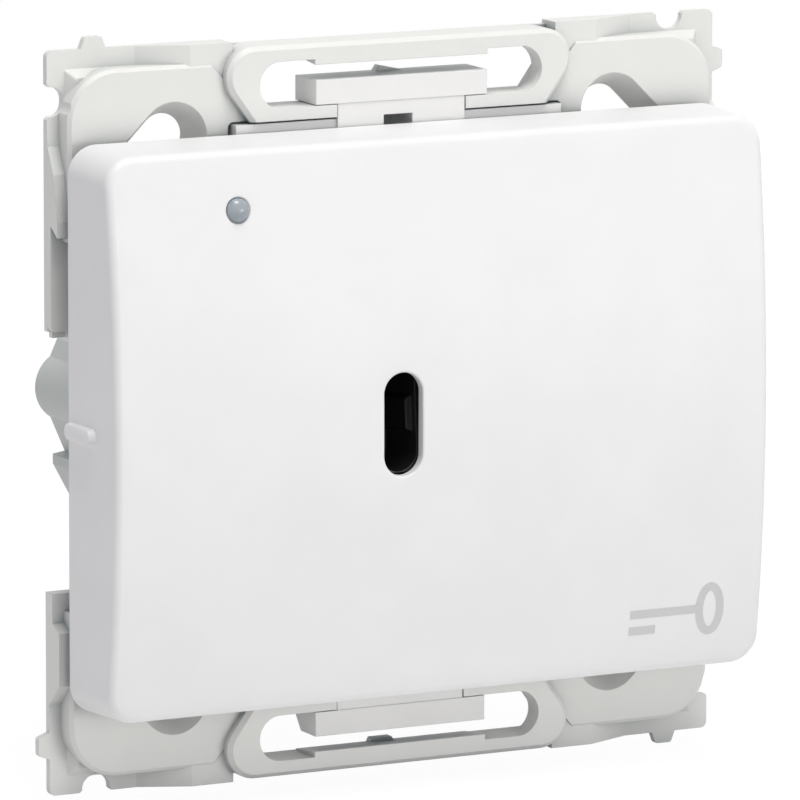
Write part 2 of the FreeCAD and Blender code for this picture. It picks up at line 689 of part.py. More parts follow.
def front_cover():
    """Moulded cover with the key slot, the lamp hole, side nubs, clips and posts."""
    shell = cover_body(0, COVER_REAR_Y)
    rim = [edge for edge in shell.Edges if edge.BoundBox.YMax < (COVER_REAR_Y + COVER_FRONT_Y) / 2]
    shell = shell.makeFillet(COVER_EDGE_R, rim)
    shell = shell.cut(cover_body(COVER_FRONT_WALL, COVER_REAR_Y + PAST))
    tip, tip_r = COVER_REAR_Y - NUB_LENGTH, NUB_H * 0.49
    nub = side_slab([(tip, -NUB_H / 2, tip_r), (COVER_REAR_Y, -NUB_H / 2, NUB_FOOT_R),
                     (COVER_REAR_Y, NUB_H / 2, NUB_FOOT_R), (tip, NUB_H / 2, tip_r)],
                    -COVER_W / 2 - NUB_PROUD, -COVER_W / 2 + COVER_WALL / 2)
    face_x = -COVER_W / 2 - NUB_PROUD / 2
    nub = nub.makeChamfer(NUB_BEVEL, [edge for edge in nub.Edges if edge.BoundBox.XMax < face_x])
    pieces = [shell, nub, flipped_in_x(nub)]
    clip = cover_clip()
    pieces += [clip, flipped_in_x(clip), flipped_in_z(clip), half_turn(clip)]
    post_root = cover_arc_y(POST_Z) + COVER_FRONT_WALL / 2
    for x in (-POST_X, POST_X):
        for z in (-POST_Z, POST_Z):
            pieces.append(rod(POST_R, Vector(x, post_root, z), Vector(x, INSERT_FRONT_Y, z)))
    cover = joined(*pieces)
    travel = KEY_SLOT_H - KEY_SLOT_W
    slot = obround(KEY_X, 0, travel, KEY_SLOT_W / 2, COVER_FRONT_Y - PAST, COVER_INNER_Y + PAST)
    pocket = plate_block(NOSE_HALF_W + NOSE_SIDE_ROOM, NOSE_HALF_H + NOSE_SWING_ROOM, COVER_FRONT_Y + KEY_SKIN,
                         COVER_INNER_Y + PAST, NOSE_CHAMFER, KEY_X, 0)
    hole = rod(LENS_R + LENS_FIT, Vector(LAMP_X, COVER_FRONT_Y - PAST, LAMP_Z),
               Vector(LAMP_X, COVER_INNER_Y + 2 * PAST, LAMP_Z))
    return cover.cut([slot, pocket, hole])


def lamp_light_pipe():
    """Clear dome in the cover, carried to the lamp by a light pipe."""
    face_y = cover_arc_y(LAMP_Z)
    under = cover_arc_y(LAMP_Z + PIPE_FLANGE_R, COVER_FRONT_WALL) + SEAT_GAP
    top = face_y - LENS_PROUD
    ball_r = (LENS_R ** 2 + LENS_PROUD ** 2) / (2 * LENS_PROUD)
    stem = rod(LENS_R, Vector(LAMP_X, top, LAMP_Z), Vector(LAMP_X, under + PIPE_FLANGE_T, LAMP_Z))
    ball = Part.makeSphere(ball_r, Vector(LAMP_X, top + ball_r, LAMP_Z))
    half_ball = stem.common(ball)
    flange = rod(PIPE_FLANGE_R, Vector(LAMP_X, under, LAMP_Z), Vector(LAMP_X, under + PIPE_FLANGE_T, LAMP_Z))
    dx, dz = LED_X - LAMP_X, LED_Z - LAMP_Z
    length = math.hypot(dx, dz)
    arm = obround((LAMP_X + LED_X) / 2, (LAMP_Z + LED_Z) / 2, length, PIPE_W / 2, under, under + PIPE_T,
                  math.degrees(math.atan2(dz, dx)))
    foot = rod(PIPE_W / 2, Vector(LED_X, under, LED_Z),
               Vector(LED_X, BOARD_FRONT_Y - LED_H - PIPE_LED_GAP, LED_Z))
    return joined(half_ball, flange, arm, foot)


def lamp_board():
    """Small circuit board on the insert, behind the cover."""
    board = plate_block(BOARD_W / 2, BOARD_H / 2, BOARD_FRONT_Y, BOARD_REAR_Y, BOARD_T / 2, LED_X, BOARD_Z)
    holes = [rod(LEAD_R + LEAD_FIT, Vector(x, BOARD_FRONT_Y - PAST, z), Vector(x, BOARD_REAR_Y + PAST, z))
             for x, z in lamp_lead_places()]
    return board.cut(holes)


def lamp_lead_places():
    """Where the two leads pass the board: left to the switched wire, right to neutral."""
    low = BOARD_Z - BOARD_H / 2 + LEAD_FROM_EDGE
    return [(LED_X + side * (BOARD_W / 2 - LEAD_FROM_EDGE), low) for side in (-1, 1)]


def lamp_led():
    """Surface-mounted lamp with its domed window."""
    top = BOARD_FRONT_Y - LED_H
    shoulder = top + LED_DOME_R / 2
    base = plate_block(LED_W / 2, LED_BASE_H / 2, shoulder, BOARD_FRONT_Y, LED_DOME_R / 4, LED_X, LED_Z)
    dome = Part.makeSphere(LED_DOME_R, Vector(LED_X, top + LED_DOME_R, LED_Z))
    window = dome.common(plate_block(LED_W, LED_W, top - PAST, shoulder, 0, LED_X, LED_Z))
    return joined(base, window)


def thin_wire(points, radius):
    """Thin wire along straight runs, six-sided so that its mesh stays light."""
    start, along = points[0], (points[1] - points[0]).normalize()
    across = along.cross(Z_AXIS if abs(along.z) < abs(along.y) else Y_AXIS).normalize() * radius
    turn = Rotation(along, 360 / WIRE_SIDES)
    corners = [across]
    for side in range(WIRE_SIDES - 1):
        corners.append(turn.multVec(corners[-1]))
    section = Part.makePolygon([start + corner for corner in corners] + [start + corners[0]])
    return Part.makePolygon(points).makePipeShell([section], True, False, 1)


def axial_part(x, z, radius, length):
    """Round component lying across the board, with its two end wires bent down."""
    y = BOARD_FRONT_Y - radius - SEAT_GAP
    body = rod(radius, Vector(x - length / 2, y, z), Vector(x + length / 2, y, z))
    rims = [edge for edge in body.Edges if edge.Curve.TypeId == "Part::GeomCircle"]
    body = body.makeChamfer(radius / 4, rims)
    reach = length / 2 + radius
    shapes = [body]
    for side in (-1, 1):
        root, bend = Vector(x + side * length / 3, y, z), Vector(x + side * reach, y, z)
        shapes.append(thin_wire([root, bend, Vector(bend.x, BOARD_FRONT_Y, z)], LEG_WIRE_R))
    return joined(*shapes)


def lamp_resistor():
    """Series resistor."""
    return axial_part(LED_X, LED_Z - LED_BASE_H / 2 - 2 * RESISTOR_R, RESISTOR_R, RESISTOR_L)


def lamp_diode():
    """Reverse-voltage diode."""
    return axial_part(LED_X, LED_Z - LED_BASE_H / 2 - 4 * RESISTOR_R - DIODE_R, DIODE_R, DIODE_L)


def lamp_lead(side):
    """Wire from the board to the bus bar behind it: 0 is the switched wire, 1 neutral."""
    x, z = lamp_lead_places()[side]
    end_x = LED_X if side == 0 else CHAMBER_X
    end_z = BUS_INNER_Z + BUS_HALF_W / 2
    bend_y = INSERT_PLATE_REAR + 4 * LEAD_R
    points = [Vector(x, BOARD_FRONT_Y - LEAD_R, z), Vector(x, bend_y, z),
              Vector(end_x, bend_y + 2 * LEAD_R, end_z), Vector(end_x, BUS_FRONT_Y, end_z)]
    return thin_wire(points, LEAD_R)


def hanging_tongue():
    """Tongue and cross bar at the top of the insert, hooked into the frame's long slot."""
    seat = LONG_SLOT_FOOT + HOOK_SEAT
    top = seat + HOOK_H
    root = INSERT_TOP - INSERT_WALL
    tongue = plate_block(TONGUE_HALF_W, (seat - root) / 2 + HOOK_SEAT, TONGUE_FRONT_Y,
                         TONGUE_FRONT_Y + TONGUE_T, 0, 0, (seat + root) / 2)
    heel_top = WINDOW_TALL_H / 2 - HOOK_SEAT
    heel = plate_block(TONGUE_HALF_W, INSERT_WALL / 2, INSERT_FRONT_Y, INSERT_PLATE_REAR + 2 * PAST, 0,
                       0, heel_top - INSERT_WALL / 2)
    hook = plate_block(HOOK_HALF_W - HOOK_SEAT, HOOK_H / 2, -BAR_T, HOOK_REAR_Y, 0, 0, seat + HOOK_H / 2)
    low, peak, high = LATCH_X
    latch = front_slab([(low, top - HOOK_SEAT, 0), (low, top, 0), (peak, top + LATCH_H, 0), (high, top, 0),
                        (high, top - HOOK_SEAT, 0)], HOOK_REAR_Y - LATCH_T, HOOK_REAR_Y)
    return joined(tongue, heel), hook, latch


def insert_outline(shrink, y0, y1):
    """The insert's tall and wide rectangles, shrunk by a gap; the tall one stops closer to the bars."""
    return plus_outline(WINDOW_TALL_W / 2 - shrink, INSERT_TOP + WINDOW_GAP - shrink,
                        WINDOW_WIDE_W / 2 - shrink, WINDOW_WIDE_H / 2 - shrink, y0, y1)


def bearing_ear(side):
    """Ear beside the rocker with the hole for its trunnion."""
    inner = NOSE_HALF_W + CHEEK_T + SIDE_PLAY
    x0, x1 = sorted((KEY_X + side * inner, KEY_X + side * (inner + EAR_T)))
    reach = TRUNNION_R + EAR_WALL
    root = INSERT_FRONT_Y + INSERT_PLATE_T / 4
    ear = side_slab([(root, -reach - EAR_FLARE, 0), (PIVOT_Y - reach, -reach, reach * 0.8),
                     (PIVOT_Y - reach, reach, reach * 0.8), (root, reach + EAR_FLARE, 0)], x0, x1)
    hole = rod(TRUNNION_R + TRUNNION_FIT, Vector(x0 - PAST, PIVOT_Y, 0), Vector(x1 + PAST, PIVOT_Y, 0))
    return ear.cut(hole)


def board_posts():
    """Two round posts and a ledge that carry the circuit board."""
    across, up = BOARD_W / 2 - BOARD_POST_IN, BOARD_H / 2 - BOARD_POST_IN
    root = INSERT_FRONT_Y + INSERT_PLATE_T / 4
    posts = [rod(BOARD_POST_R, Vector(LED_X + side * across, BOARD_REAR_Y, BOARD_Z + up),
                 Vector(LED_X + side * across, root, BOARD_Z + up)) for side in (-1, 1)]
    ledge = plate_block(BOARD_POST_R, BOARD_POST_R / 2, BOARD_REAR_Y, root, 0, LED_X, BOARD_Z - up)
    return posts + [ledge]


def snap_leg(side):
    """Leg behind the insert with a window that snaps over a wedge on the housing."""
    middle = side * (BLOCK_HALF_H + LEG_GAP + LEG_T / 2)
    window_front, window_rear = SNAP_Y - SNAP_FIT, SNAP_Y + SNAP_LENGTH + SNAP_FIT
    leg = plate_block(LEG_W / 2, LEG_T / 2, INSERT_PLATE_REAR, window_rear + LEG_BAND, 0, 0, middle)
    return leg.cut(plate_block(LEG_WINDOW_W / 2, LEG_T, window_front, window_rear, 0, 0, middle))


def insert_body():
    """White front moulding: plate, skirt, hanging tongues, bearing ears and board posts."""
    body = insert_outline(WINDOW_GAP, INSERT_FRONT_Y, INSERT_REAR_Y)
    body = body.cut(insert_outline(WINDOW_GAP + INSERT_WALL, INSERT_PLATE_REAR, INSERT_REAR_Y + PAST))
    tongue, hook, latch = hanging_tongue()
    rim = plate_block(WINDOW_TALL_W / 2 - WINDOW_GAP, INSERT_RIM_H / 2, INSERT_RIM_Y, INSERT_FRONT_Y, 0,
                      0, INSERT_TOP - INSERT_RIM_H / 2)
    seat = -LONG_SLOT_FOOT - HOOK_SEAT
    foot, rear = seat - HOOK_H - PAST, HOOK_REAR_Y + PAST
    lead_in = side_slab([(-BAR_T / 2, foot, 0), (rear, foot, 0), (rear, seat - HOOK_H / 3, 0),
                         (HOOK_REAR_Y, seat - HOOK_H / 3, 0)], -HOOK_HALF_W, HOOK_HALF_W)
    bottom_hook = flipped_in_z(hook).cut(lead_in)
    pieces = [body, rim, flipped_in_z(rim), tongue, hook, latch, flipped_in_z(tongue), bottom_hook,
              bearing_ear(-1), bearing_ear(1), snap_leg(-1), snap_leg(1)]
    insert = joined(*pieces, *board_posts())
    front, rear = TONGUE_FRONT_Y - PAST, INSERT_PLATE_REAR + PAST
    cuts = [plate_block(RELEASE_HOLE_W / 2, RELEASE_HOLE_H / 2, front, rear, 0, RELEASE_HOLE_X,
                        LONG_SLOT_FOOT - RELEASE_HOLE_DOWN)]
    window_w = NOSE_HALF_W + CHEEK_T - SIDE_PLAY
    cuts.append(plate_block(window_w, NOSE_HALF_H + CLIP_PLAY, front, rear, NOSE_CHAMFER, KEY_X, 0))
    clip_hole = plate_block(CLIP_W / 2 + CLIP_PLAY, CLIP_T / 2 + CLIP_PLAY, front, rear, 0, CLIP_X, CLIP_Z)
    cuts += [clip_hole, flipped_in_x(clip_hole), flipped_in_z(clip_hole), half_turn(clip_hole)]
    for x, z in lamp_lead_places():
        cuts.append(rod(LEAD_R + LEAD_FIT, Vector(x, BOARD_REAR_Y - PAST, z), Vector(x, rear, z)))
    return insert.cut(cuts)


def key_receiver():
    """Black keyway block in the rocker, level with the cover's slot."""
    block = plate_block(NOSE_HALF_W, NOSE_HALF_H, NOSE_FRONT_Y, KEY_BLOCK_REAR, 0, KEY_X, 0)
    block = block.makeChamfer(NOSE_CHAMFER, [edge for edge in block.Edges
                                             if edge.BoundBox.YMax < NOSE_FRONT_Y + KEY_FLOOR_T
                                             and edge.BoundBox.XLength > edge.BoundBox.ZLength])
    travel = KEY_SLOT_H + 2 * MOUTH_SPARE - KEY_SLOT_W
    keyway = obround(KEY_X, 0, travel, KEY_SLOT_W / 2, NOSE_FRONT_Y - PAST, NOSE_FRONT_Y + KEY_DEPTH)
    wall_x = KEY_X + KEY_SLOT_W / 2
    root, crest = wall_x + WARD_ROOT, wall_x - WARD_PROUD
    foot = WARD_H / 2 + WARD_FLARE
    ward = front_slab([(root, -foot, 0), (root, foot, 0), (crest, WARD_H / 2, WARD_ROOT),
                       (crest, -WARD_H / 2, WARD_ROOT)], NOSE_FRONT_Y + WARD_SETBACK, NOSE_FRONT_Y + KEY_DEPTH)
    return tilted(joined(block.cut(keyway), ward), -LEVER_HALF_TILT, PIVOT_Y)


def rocker():
    """Rocker that holds the keyway between its cheeks and carries the plunger barrel."""
    seat, back = KEY_BLOCK_REAR, KEY_BLOCK_REAR + ROCKER_BACK_T
    lap = ROCKER_BACK_T / 4
    half_h = NOSE_HALF_H - CHEEK_INSET
    outer = NOSE_HALF_W + CHEEK_T
    reach = TRUNNION_R + CHEEK_WALL
    barrel_r = PLUNGER_HEAD_R + PLUNGER_FIT + BARREL_WALL
    back_h = half_h - CHEEK_INSET
    shapes = [side_slab([(seat, -half_h, 0), (back, -back_h, CHEEK_INSET / 2), (back, back_h, CHEEK_INSET / 2),
                         (seat, half_h, 0)], KEY_X - outer, KEY_X + outer)]
    for side in (-1, 1):
        x0, x1 = sorted((KEY_X + side * NOSE_HALF_W, KEY_X + side * outer))
        shapes.append(side_slab([(seat + lap, -half_h, 0), (PIVOT_Y - reach, -reach, reach * 0.7),
                                 (PIVOT_Y - reach, reach, reach * 0.7), (seat + lap, half_h, 0)], x0, x1))
        shapes.append(rod(TRUNNION_R, Vector(KEY_X + side * (outer - CHEEK_T / 2), PIVOT_Y, 0),
                          Vector(KEY_X + side * (outer + SIDE_PLAY + EAR_T), PIVOT_Y, 0)))
    shapes.append(rod(barrel_r, Vector(KEY_X, seat + lap, 0), Vector(KEY_X, BARREL_END_Y, 0)))
    neck = Vector(KEY_X, BARREL_NECK_Y, 0)
    bore = rod(PLUNGER_HEAD_R + PLUNGER_FIT, Vector(KEY_X, seat + BARREL_LIP, 0), neck)
    mouth = rod(PLUNGER_R + PLUNGER_FIT, neck, Vector(KEY_X, BARREL_END_Y + PAST, 0))
    return tilted(joined(*shapes).cut([bore, mouth]), -LEVER_HALF_TILT, PIVOT_Y)


def plunger():
    """Sprung plunger: round head in the barrel, stem and ball tip on the seesaw."""
    head_rear, tip = BARREL_NECK_Y - SEAT_GAP, TIP_REST_Y
    head_front = head_rear - PLUNGER_HEAD_T
    profile = [Vector(0, head_front, 0), Vector(PLUNGER_HEAD_R, head_front, 0),
               Vector(PLUNGER_HEAD_R, head_rear, 0), Vector(PLUNGER_R, head_rear, 0),
               Vector(PLUNGER_R, tip - PLUNGER_R, 0)]
    edges = [Part.makeLine(a, b) for a, b in zip(profile, profile[1:])]
    slant = PLUNGER_R * math.sin(math.pi / 4)
    ball = Part.Arc(profile[-1], Vector(slant, tip - PLUNGER_R + slant, 0), Vector(0, tip, 0))
    edges.append(ball.toShape())
    edges.append(Part.makeLine(Vector(0, tip, 0), profile[0]))
    solid = Part.Face(Part.Wire(edges)).revolve(Vector(0, 0, 0), Y_AXIS, 360)
    solid.translate(Vector(KEY_X, 0, 0))
    return tilted(solid, -LEVER_HALF_TILT, PIVOT_Y)


def plunger_spring():
    """Compression spring between the barrel's floor and the plunger's head."""
    clear = SPRING_WIRE_R + SEAT_GAP
    start = KEY_BLOCK_REAR + BARREL_LIP + clear
    end = BARREL_NECK_Y - SEAT_GAP - PLUNGER_HEAD_T - clear
    coil_r = PLUNGER_HEAD_R - SPRING_WIRE_R - SPRING_SIDE_GAP
    pitch = (end - start) / SPRING_TURNS
    helix = Part.makeHelix(pitch, end - start, coil_r)
    wire = Part.Wire(helix.Edges)
    turns = [2 * math.pi * side / SPRING_WIRE_SIDES for side in range(SPRING_WIRE_SIDES + 1)]
    section = Part.makePolygon([Vector(coil_r + SPRING_WIRE_R * math.cos(a), 0, SPRING_WIRE_R * math.sin(a))
                                for a in turns])
    coil = wire.makePipeShell([section], True, True)
    coil.rotate(Vector(0, 0, 0), X_AXIS, -90)
    coil.translate(Vector(KEY_X, start, 0))
    return tilted(coil, -LEVER_HALF_TILT, PIVOT_Y)


def seesaw_contact():
    """Brass seesaw on the common terminal's edge, with cheeks that guide the plunger."""
    half_w = SEESAW_W / 2
    front, rear, edge_r = SEESAW_FRONT_Y, SEESAW_PIVOT_Y, SEESAW_EDGE_R
    strip = side_slab([(front, -SEESAW_HALF, edge_r), (rear, -SEESAW_HALF, edge_r), (rear, SEESAW_HALF, edge_r),
                       (front, SEESAW_HALF, edge_r)], KEY_X - half_w, KEY_X + half_w)
    root, crest = SEESAW_PIVOT_Y - SEESAW_T / 4, SEESAW_FRONT_Y - CHEEK_H
    shapes = [strip]
    for side in (-1, 1):
        x0, x1 = sorted((KEY_X + side * half_w, KEY_X + side * (half_w - CHEEK_STRIP_T)))
        shapes.append(side_slab([(root, -CHEEK_HALF_L, 0), (crest, -CHEEK_TOP_HALF_L, CHEEK_STRIP_T),
                                 (crest, CHEEK_TOP_HALF_L, CHEEK_STRIP_T), (root, CHEEK_HALF_L, 0)], x0, x1))
    return tilted(joined(*shapes), SEESAW_HALF_TILT, SEESAW_PIVOT_Y)


def contact_tip(z, face_y, root_y):
    """Silver contact button with a bevelled edge, standing on a strip."""
    button = rod(TIP_R, Vector(KEY_X, root_y, z), Vector(KEY_X, face_y, z))
    rim = [edge for edge in button.Edges if edge.BoundBox.YLength < TIP_BEVEL
           and abs(edge.BoundBox.Center.y - face_y) < TIP_BEVEL]
    return button.makeChamfer(TIP_BEVEL, rim)


def moving_tips():
    """Two contact buttons on the seesaw's ends."""
    buttons = [contact_tip(z, SEESAW_PIVOT_Y + TIP_T, SEESAW_PIVOT_Y) for z in (-TIP_Z, TIP_Z)]
    return tilted(Part.makeCompound(buttons), SEESAW_HALF_TILT, SEESAW_PIVOT_Y)


def swung(y, z, sign):
    """Where a (y, z) point of the level seesaw lies when that end is pressed home."""
    a = math.radians(SEESAW_HALF_TILT)
    out = abs(z)
    depth = y - SEESAW_PIVOT_Y
    return (SEESAW_PIVOT_Y + depth * math.cos(a) + out * math.sin(a),
            sign * (out * math.cos(a) - depth * math.sin(a)))


def fixed_tip(sign):
    """Contact button on a way terminal, square to the seesaw when it closes."""
    button = contact_tip(sign * TIP_Z, FIXED_TIP_Y, FIXED_TIP_Y + TIP_T)
    return tilted(button, -sign * SEESAW_HALF_TILT, SEESAW_PIVOT_Y)


def bus_bar(x_side, z_side):
    """L-shaped brass bar of one terminal: a front plate and the leg the wires press on."""
    path = [(BUS_FRONT_Y, BUS_INNER_Z), (BUS_FRONT_Y, BUS_OUTER_Z), (BUS_REAR_Y, BUS_OUTER_Z)]
    bar = bent_strip(path, BUS_T, BUS_BEND_R, x_side * CHAMBER_X - BUS_HALF_W, x_side * CHAMBER_X + BUS_HALF_W)
    return bar if z_side > 0 else flipped_in_z(bar)


def way_terminal(z_side):
    """Terminal of one switched way, with its bent tongue under the fixed tip."""
    root = FIXED_TIP_Y + TIP_T
    start = swung(root, TIP_Z - TIP_R - BUS_BEND_R, 1)
    end = swung(root, TIP_Z + TIP_R + BUS_BEND_R, 1)
    path = [start, end, (BUS_FRONT_Y, BUS_INNER_Z - BUS_BEND_R), (BUS_FRONT_Y, BUS_INNER_Z + TONGUE_LAP)]
    tongue = bent_strip(path, BUS_T, BUS_BEND_R, KEY_X - SEESAW_W / 2, KEY_X + SEESAW_W / 2)
    if z_side < 0:
        tongue = flipped_in_z(tongue)
    return joined(tongue, bus_bar(-1, z_side))


def common_terminal():
    """Terminal of the shared wire, with the edge that the seesaw rocks on."""
    left, right = KEY_X - SEESAW_W / 2, CHAMBER_X + BUS_HALF_W
    edge_y = SEESAW_PIVOT_Y + CONTACT_GAP
    waist = edge_y + 2 * BUS_T
    root = BUS_FRONT_Y + BUS_T / 8
    blade_t = BUS_T * 0.9
    blade = side_slab([(edge_y, 0, 0), (waist, -blade_t, 0), (root, -blade_t, 0), (root, blade_t, 0),
                       (waist, blade_t, 0)], left, left + SEESAW_W)
    base_h = 2 * blade_t
    base = front_slab([(left, -base_h, BUS_BEND_R), (right, -base_h, 0), (right, base_h, BUS_T),
                       (left, base_h, BUS_BEND_R)], BUS_FRONT_Y, BUS_FRONT_Y + BUS_T)
    link = plate_block(BUS_HALF_W, BUS_INNER_Z / 2, BUS_FRONT_Y, BUS_FRONT_Y + BUS_T, 0, CHAMBER_X,
                       -BUS_INNER_Z / 2 - BUS_T)
    return joined(blade, base, link, bus_bar(1, -1))


def neutral_terminal():
    """Terminal that feeds the indicator lamp."""
    return bus_bar(1, 1)


def clamp_springs(x_side, z_side):
    """Two steel leaf springs of one terminal; each pins a wire against the bus bar."""
    foot_y = BUS_FRONT_Y + BUS_T + SNAP_FIT
    tip = (CLAMP_BEND_Y - CLAMP_REACH, BUS_OUTER_Z - BUS_T - CLAMP_TIP_GAP)
    path = [(foot_y, BUS_INNER_Z + TONGUE_LAP), (foot_y, CLAMP_INNER_Z), (CLAMP_BEND_Y, CLAMP_INNER_Z), tip]
    springs = []
    for offset in (-WIRE_SPACING / 2, WIRE_SPACING / 2):
        x = x_side * CHAMBER_X + offset
        springs.append(bent_strip(path[::-1], CLAMP_T, CLAMP_BEND_R, x - CLAMP_W / 2, x + CLAMP_W / 2))
    pair = Part.makeCompound(springs)
    return pair if z_side > 0 else flipped_in_z(pair)


def release_lever(x_side, z_side):
    """Push lever: button in the rear cover, cross bar inside, two noses on the springs."""
    x = x_side * CHAMBER_X
    shoulder, bar_front = LEVER_SHOULDER_Y, LEVER_SHOULDER_Y - LEVER_BAR_T
    bar_half_h = LEVER_H / 2 - 2 * LEVER_FIT
    button_rear = BLOCK_REAR_Y + REAR_COVER_T + LEVER_PROUD
    button = plate_block(LEVER_W / 2, LEVER_H / 2, bar_front + LEVER_FIT, button_rear, LEVER_H / 8, x, LEVER_Z)
    bar = plate_block(LEVER_BAR_W / 2, bar_half_h, bar_front, shoulder, 0, x, LEVER_Z)
    low, high = LEVER_Z - bar_half_h * 0.8, LEVER_Z + bar_half_h * 0.8
    shapes = [button, bar]
    for offset in (-WIRE_SPACING / 2, WIRE_SPACING / 2):
        cx = x + offset
        shapes.append(side_slab([(bar_front + LEVER_FIT, low, 0), (LEVER_TIP_Y + LEVER_FIT * 5, low, 0),
                                 (LEVER_TIP_Y, high, 0), (bar_front + LEVER_FIT, high, 0)],
                                cx - LEVER_NOSE_W / 2, cx + LEVER_NOSE_W / 2))
    lever = joined(*shapes)
    return lever if z_side > 0 else flipped_in_z(lever)


def side_lug():
    """Rounded boss and snap hook on the left wing, in the gap beside the cover."""
    wall, centre = -WING_HALF_W + HOUSING_WALL / 4, -WING_HALF_W - LUG_PROUD
    side_x, side_z = centre - LUG_R * 0.55, LUG_R * 0.835
    ramp = LUG_R * 0.95
    hook_x, hook_z = centre - LUG_R * 0.48, LUG_HOOK_Z
    points = [Vector(wall, 0, side_z + ramp), Vector(centre - LUG_R / 3, 0, side_z + ramp / 2),
              Vector(side_x, 0, side_z)]
    below = [Vector(side_x, 0, -side_z), Vector(centre - LUG_R / 8, 0, hook_z + LUG_R / 5),
             Vector(hook_x, 0, hook_z + LUG_R / 7), Vector(hook_x, 0, hook_z - LUG_R / 8),
             Vector(centre, 0, hook_z - LUG_R), Vector(wall, 0, hook_z - LUG_R * 1.2)]
    edges = [Part.makeLine(a, b) for a, b in zip(points, points[1:])]
    edges.append(Part.Arc(points[-1], Vector(centre - LUG_R, 0, 0), below[0]).toShape())
    edges += [Part.makeLine(a, b) for a, b in zip(below, below[1:])]
    edges.append(Part.makeLine(below[-1], points[0]))
    profile = Part.Face(Part.Wire(edges))
    front = BLOCK_FRONT_Y + FLANGE_T
    profile.translate(Vector(0, front + LUG_ARM_SETBACK, 0))
    arm = profile.extrude(Vector(0, WING_REAR_Y - front - LUG_ARM_SETBACK, 0))
    boss = rod(LUG_R, Vector(centre, front, 0), Vector(centre, WING_REAR_Y, 0))
    rim = [edge for edge in boss.Edges if edge.BoundBox.YMax < front + LUG_BEVEL / 2]
    return joined(arm, boss.makeChamfer(LUG_BEVEL, rim))


def housing_wedge(side):
    """Wedge at the top or bottom of the housing that the insert's leg snaps over."""
    root, crest = side * (BLOCK_HALF_H - HOUSING_WALL / 4), side * (BLOCK_HALF_H + SNAP_PROUD)
    rear = SNAP_Y + SNAP_LENGTH
    return side_slab([(SNAP_Y, root, 0), (rear, root, 0), (rear, crest, 0), (rear - SNAP_CREST, crest, 0)],
                     -SNAP_W / 2, SNAP_W / 2)


def contact_housing():
    """Grey housing: flange, side wings with lugs, and the terminal block."""
    flange = insert_outline(WINDOW_GAP, BLOCK_FRONT_Y, BLOCK_FRONT_Y + FLANGE_T)
    flange = flange.common(plate_block(HALF, BLOCK_HALF_H, BLOCK_FRONT_Y, BLOCK_REAR_Y))
    wings = plate_block(WING_HALF_W, WING_HALF_H, BLOCK_FRONT_Y, WING_REAR_Y, BLOCK_CORNER_R)
    block = plate_block(BLOCK_HALF_W, BLOCK_HALF_H, BLOCK_FRONT_Y, BLOCK_REAR_Y, BLOCK_CORNER_R)
    lug = side_lug()
    housing = joined(flange, wings, block, lug, half_turn(lug), housing_wedge(-1), housing_wedge(1))
    front = BLOCK_FRONT_Y - PAST
    cuts = [plate_block(CAVITY_HALF_W, CAVITY_HALF_H, front, BLOCK_REAR_Y + PAST, WINDOW_CORNER_R)]
    wing_outer = WING_HALF_W - HOUSING_WALL
    half_w, middle = (wing_outer - BLOCK_HALF_W) / 2, (wing_outer + BLOCK_HALF_W) / 2
    for side in (-1, 1):
        cuts.append(plate_block(half_w, WING_HALF_H - HOUSING_WALL, front, WING_REAR_Y - HOUSING_WALL,
                                WINDOW_CORNER_R, side * middle))
    housing = housing.cut(cuts)
    floor = BUS_FRONT_Y + BUS_T
    wall_z = CLAMP_INNER_Z - CLAMP_T - PARTITION_T / 2 - LEAD_R
    lap = HOUSING_WALL / 8
    ribs = [plate_block(PARTITION_T / 2, CAVITY_HALF_H + lap, floor, LEVER_SHOULDER_Y)]
    for side in (-1, 1):
        ribs.append(plate_block(CAVITY_HALF_W + lap, PARTITION_T / 2, floor, LEVER_SHOULDER_Y, 0,
                                0, side * wall_z))
    seat = plate_block(SEESAW_W / 2 + SEAT_T, wall_z, floor, floor + SEAT_T, 0, KEY_X, 0)
    return joined(housing, *ribs, seat)


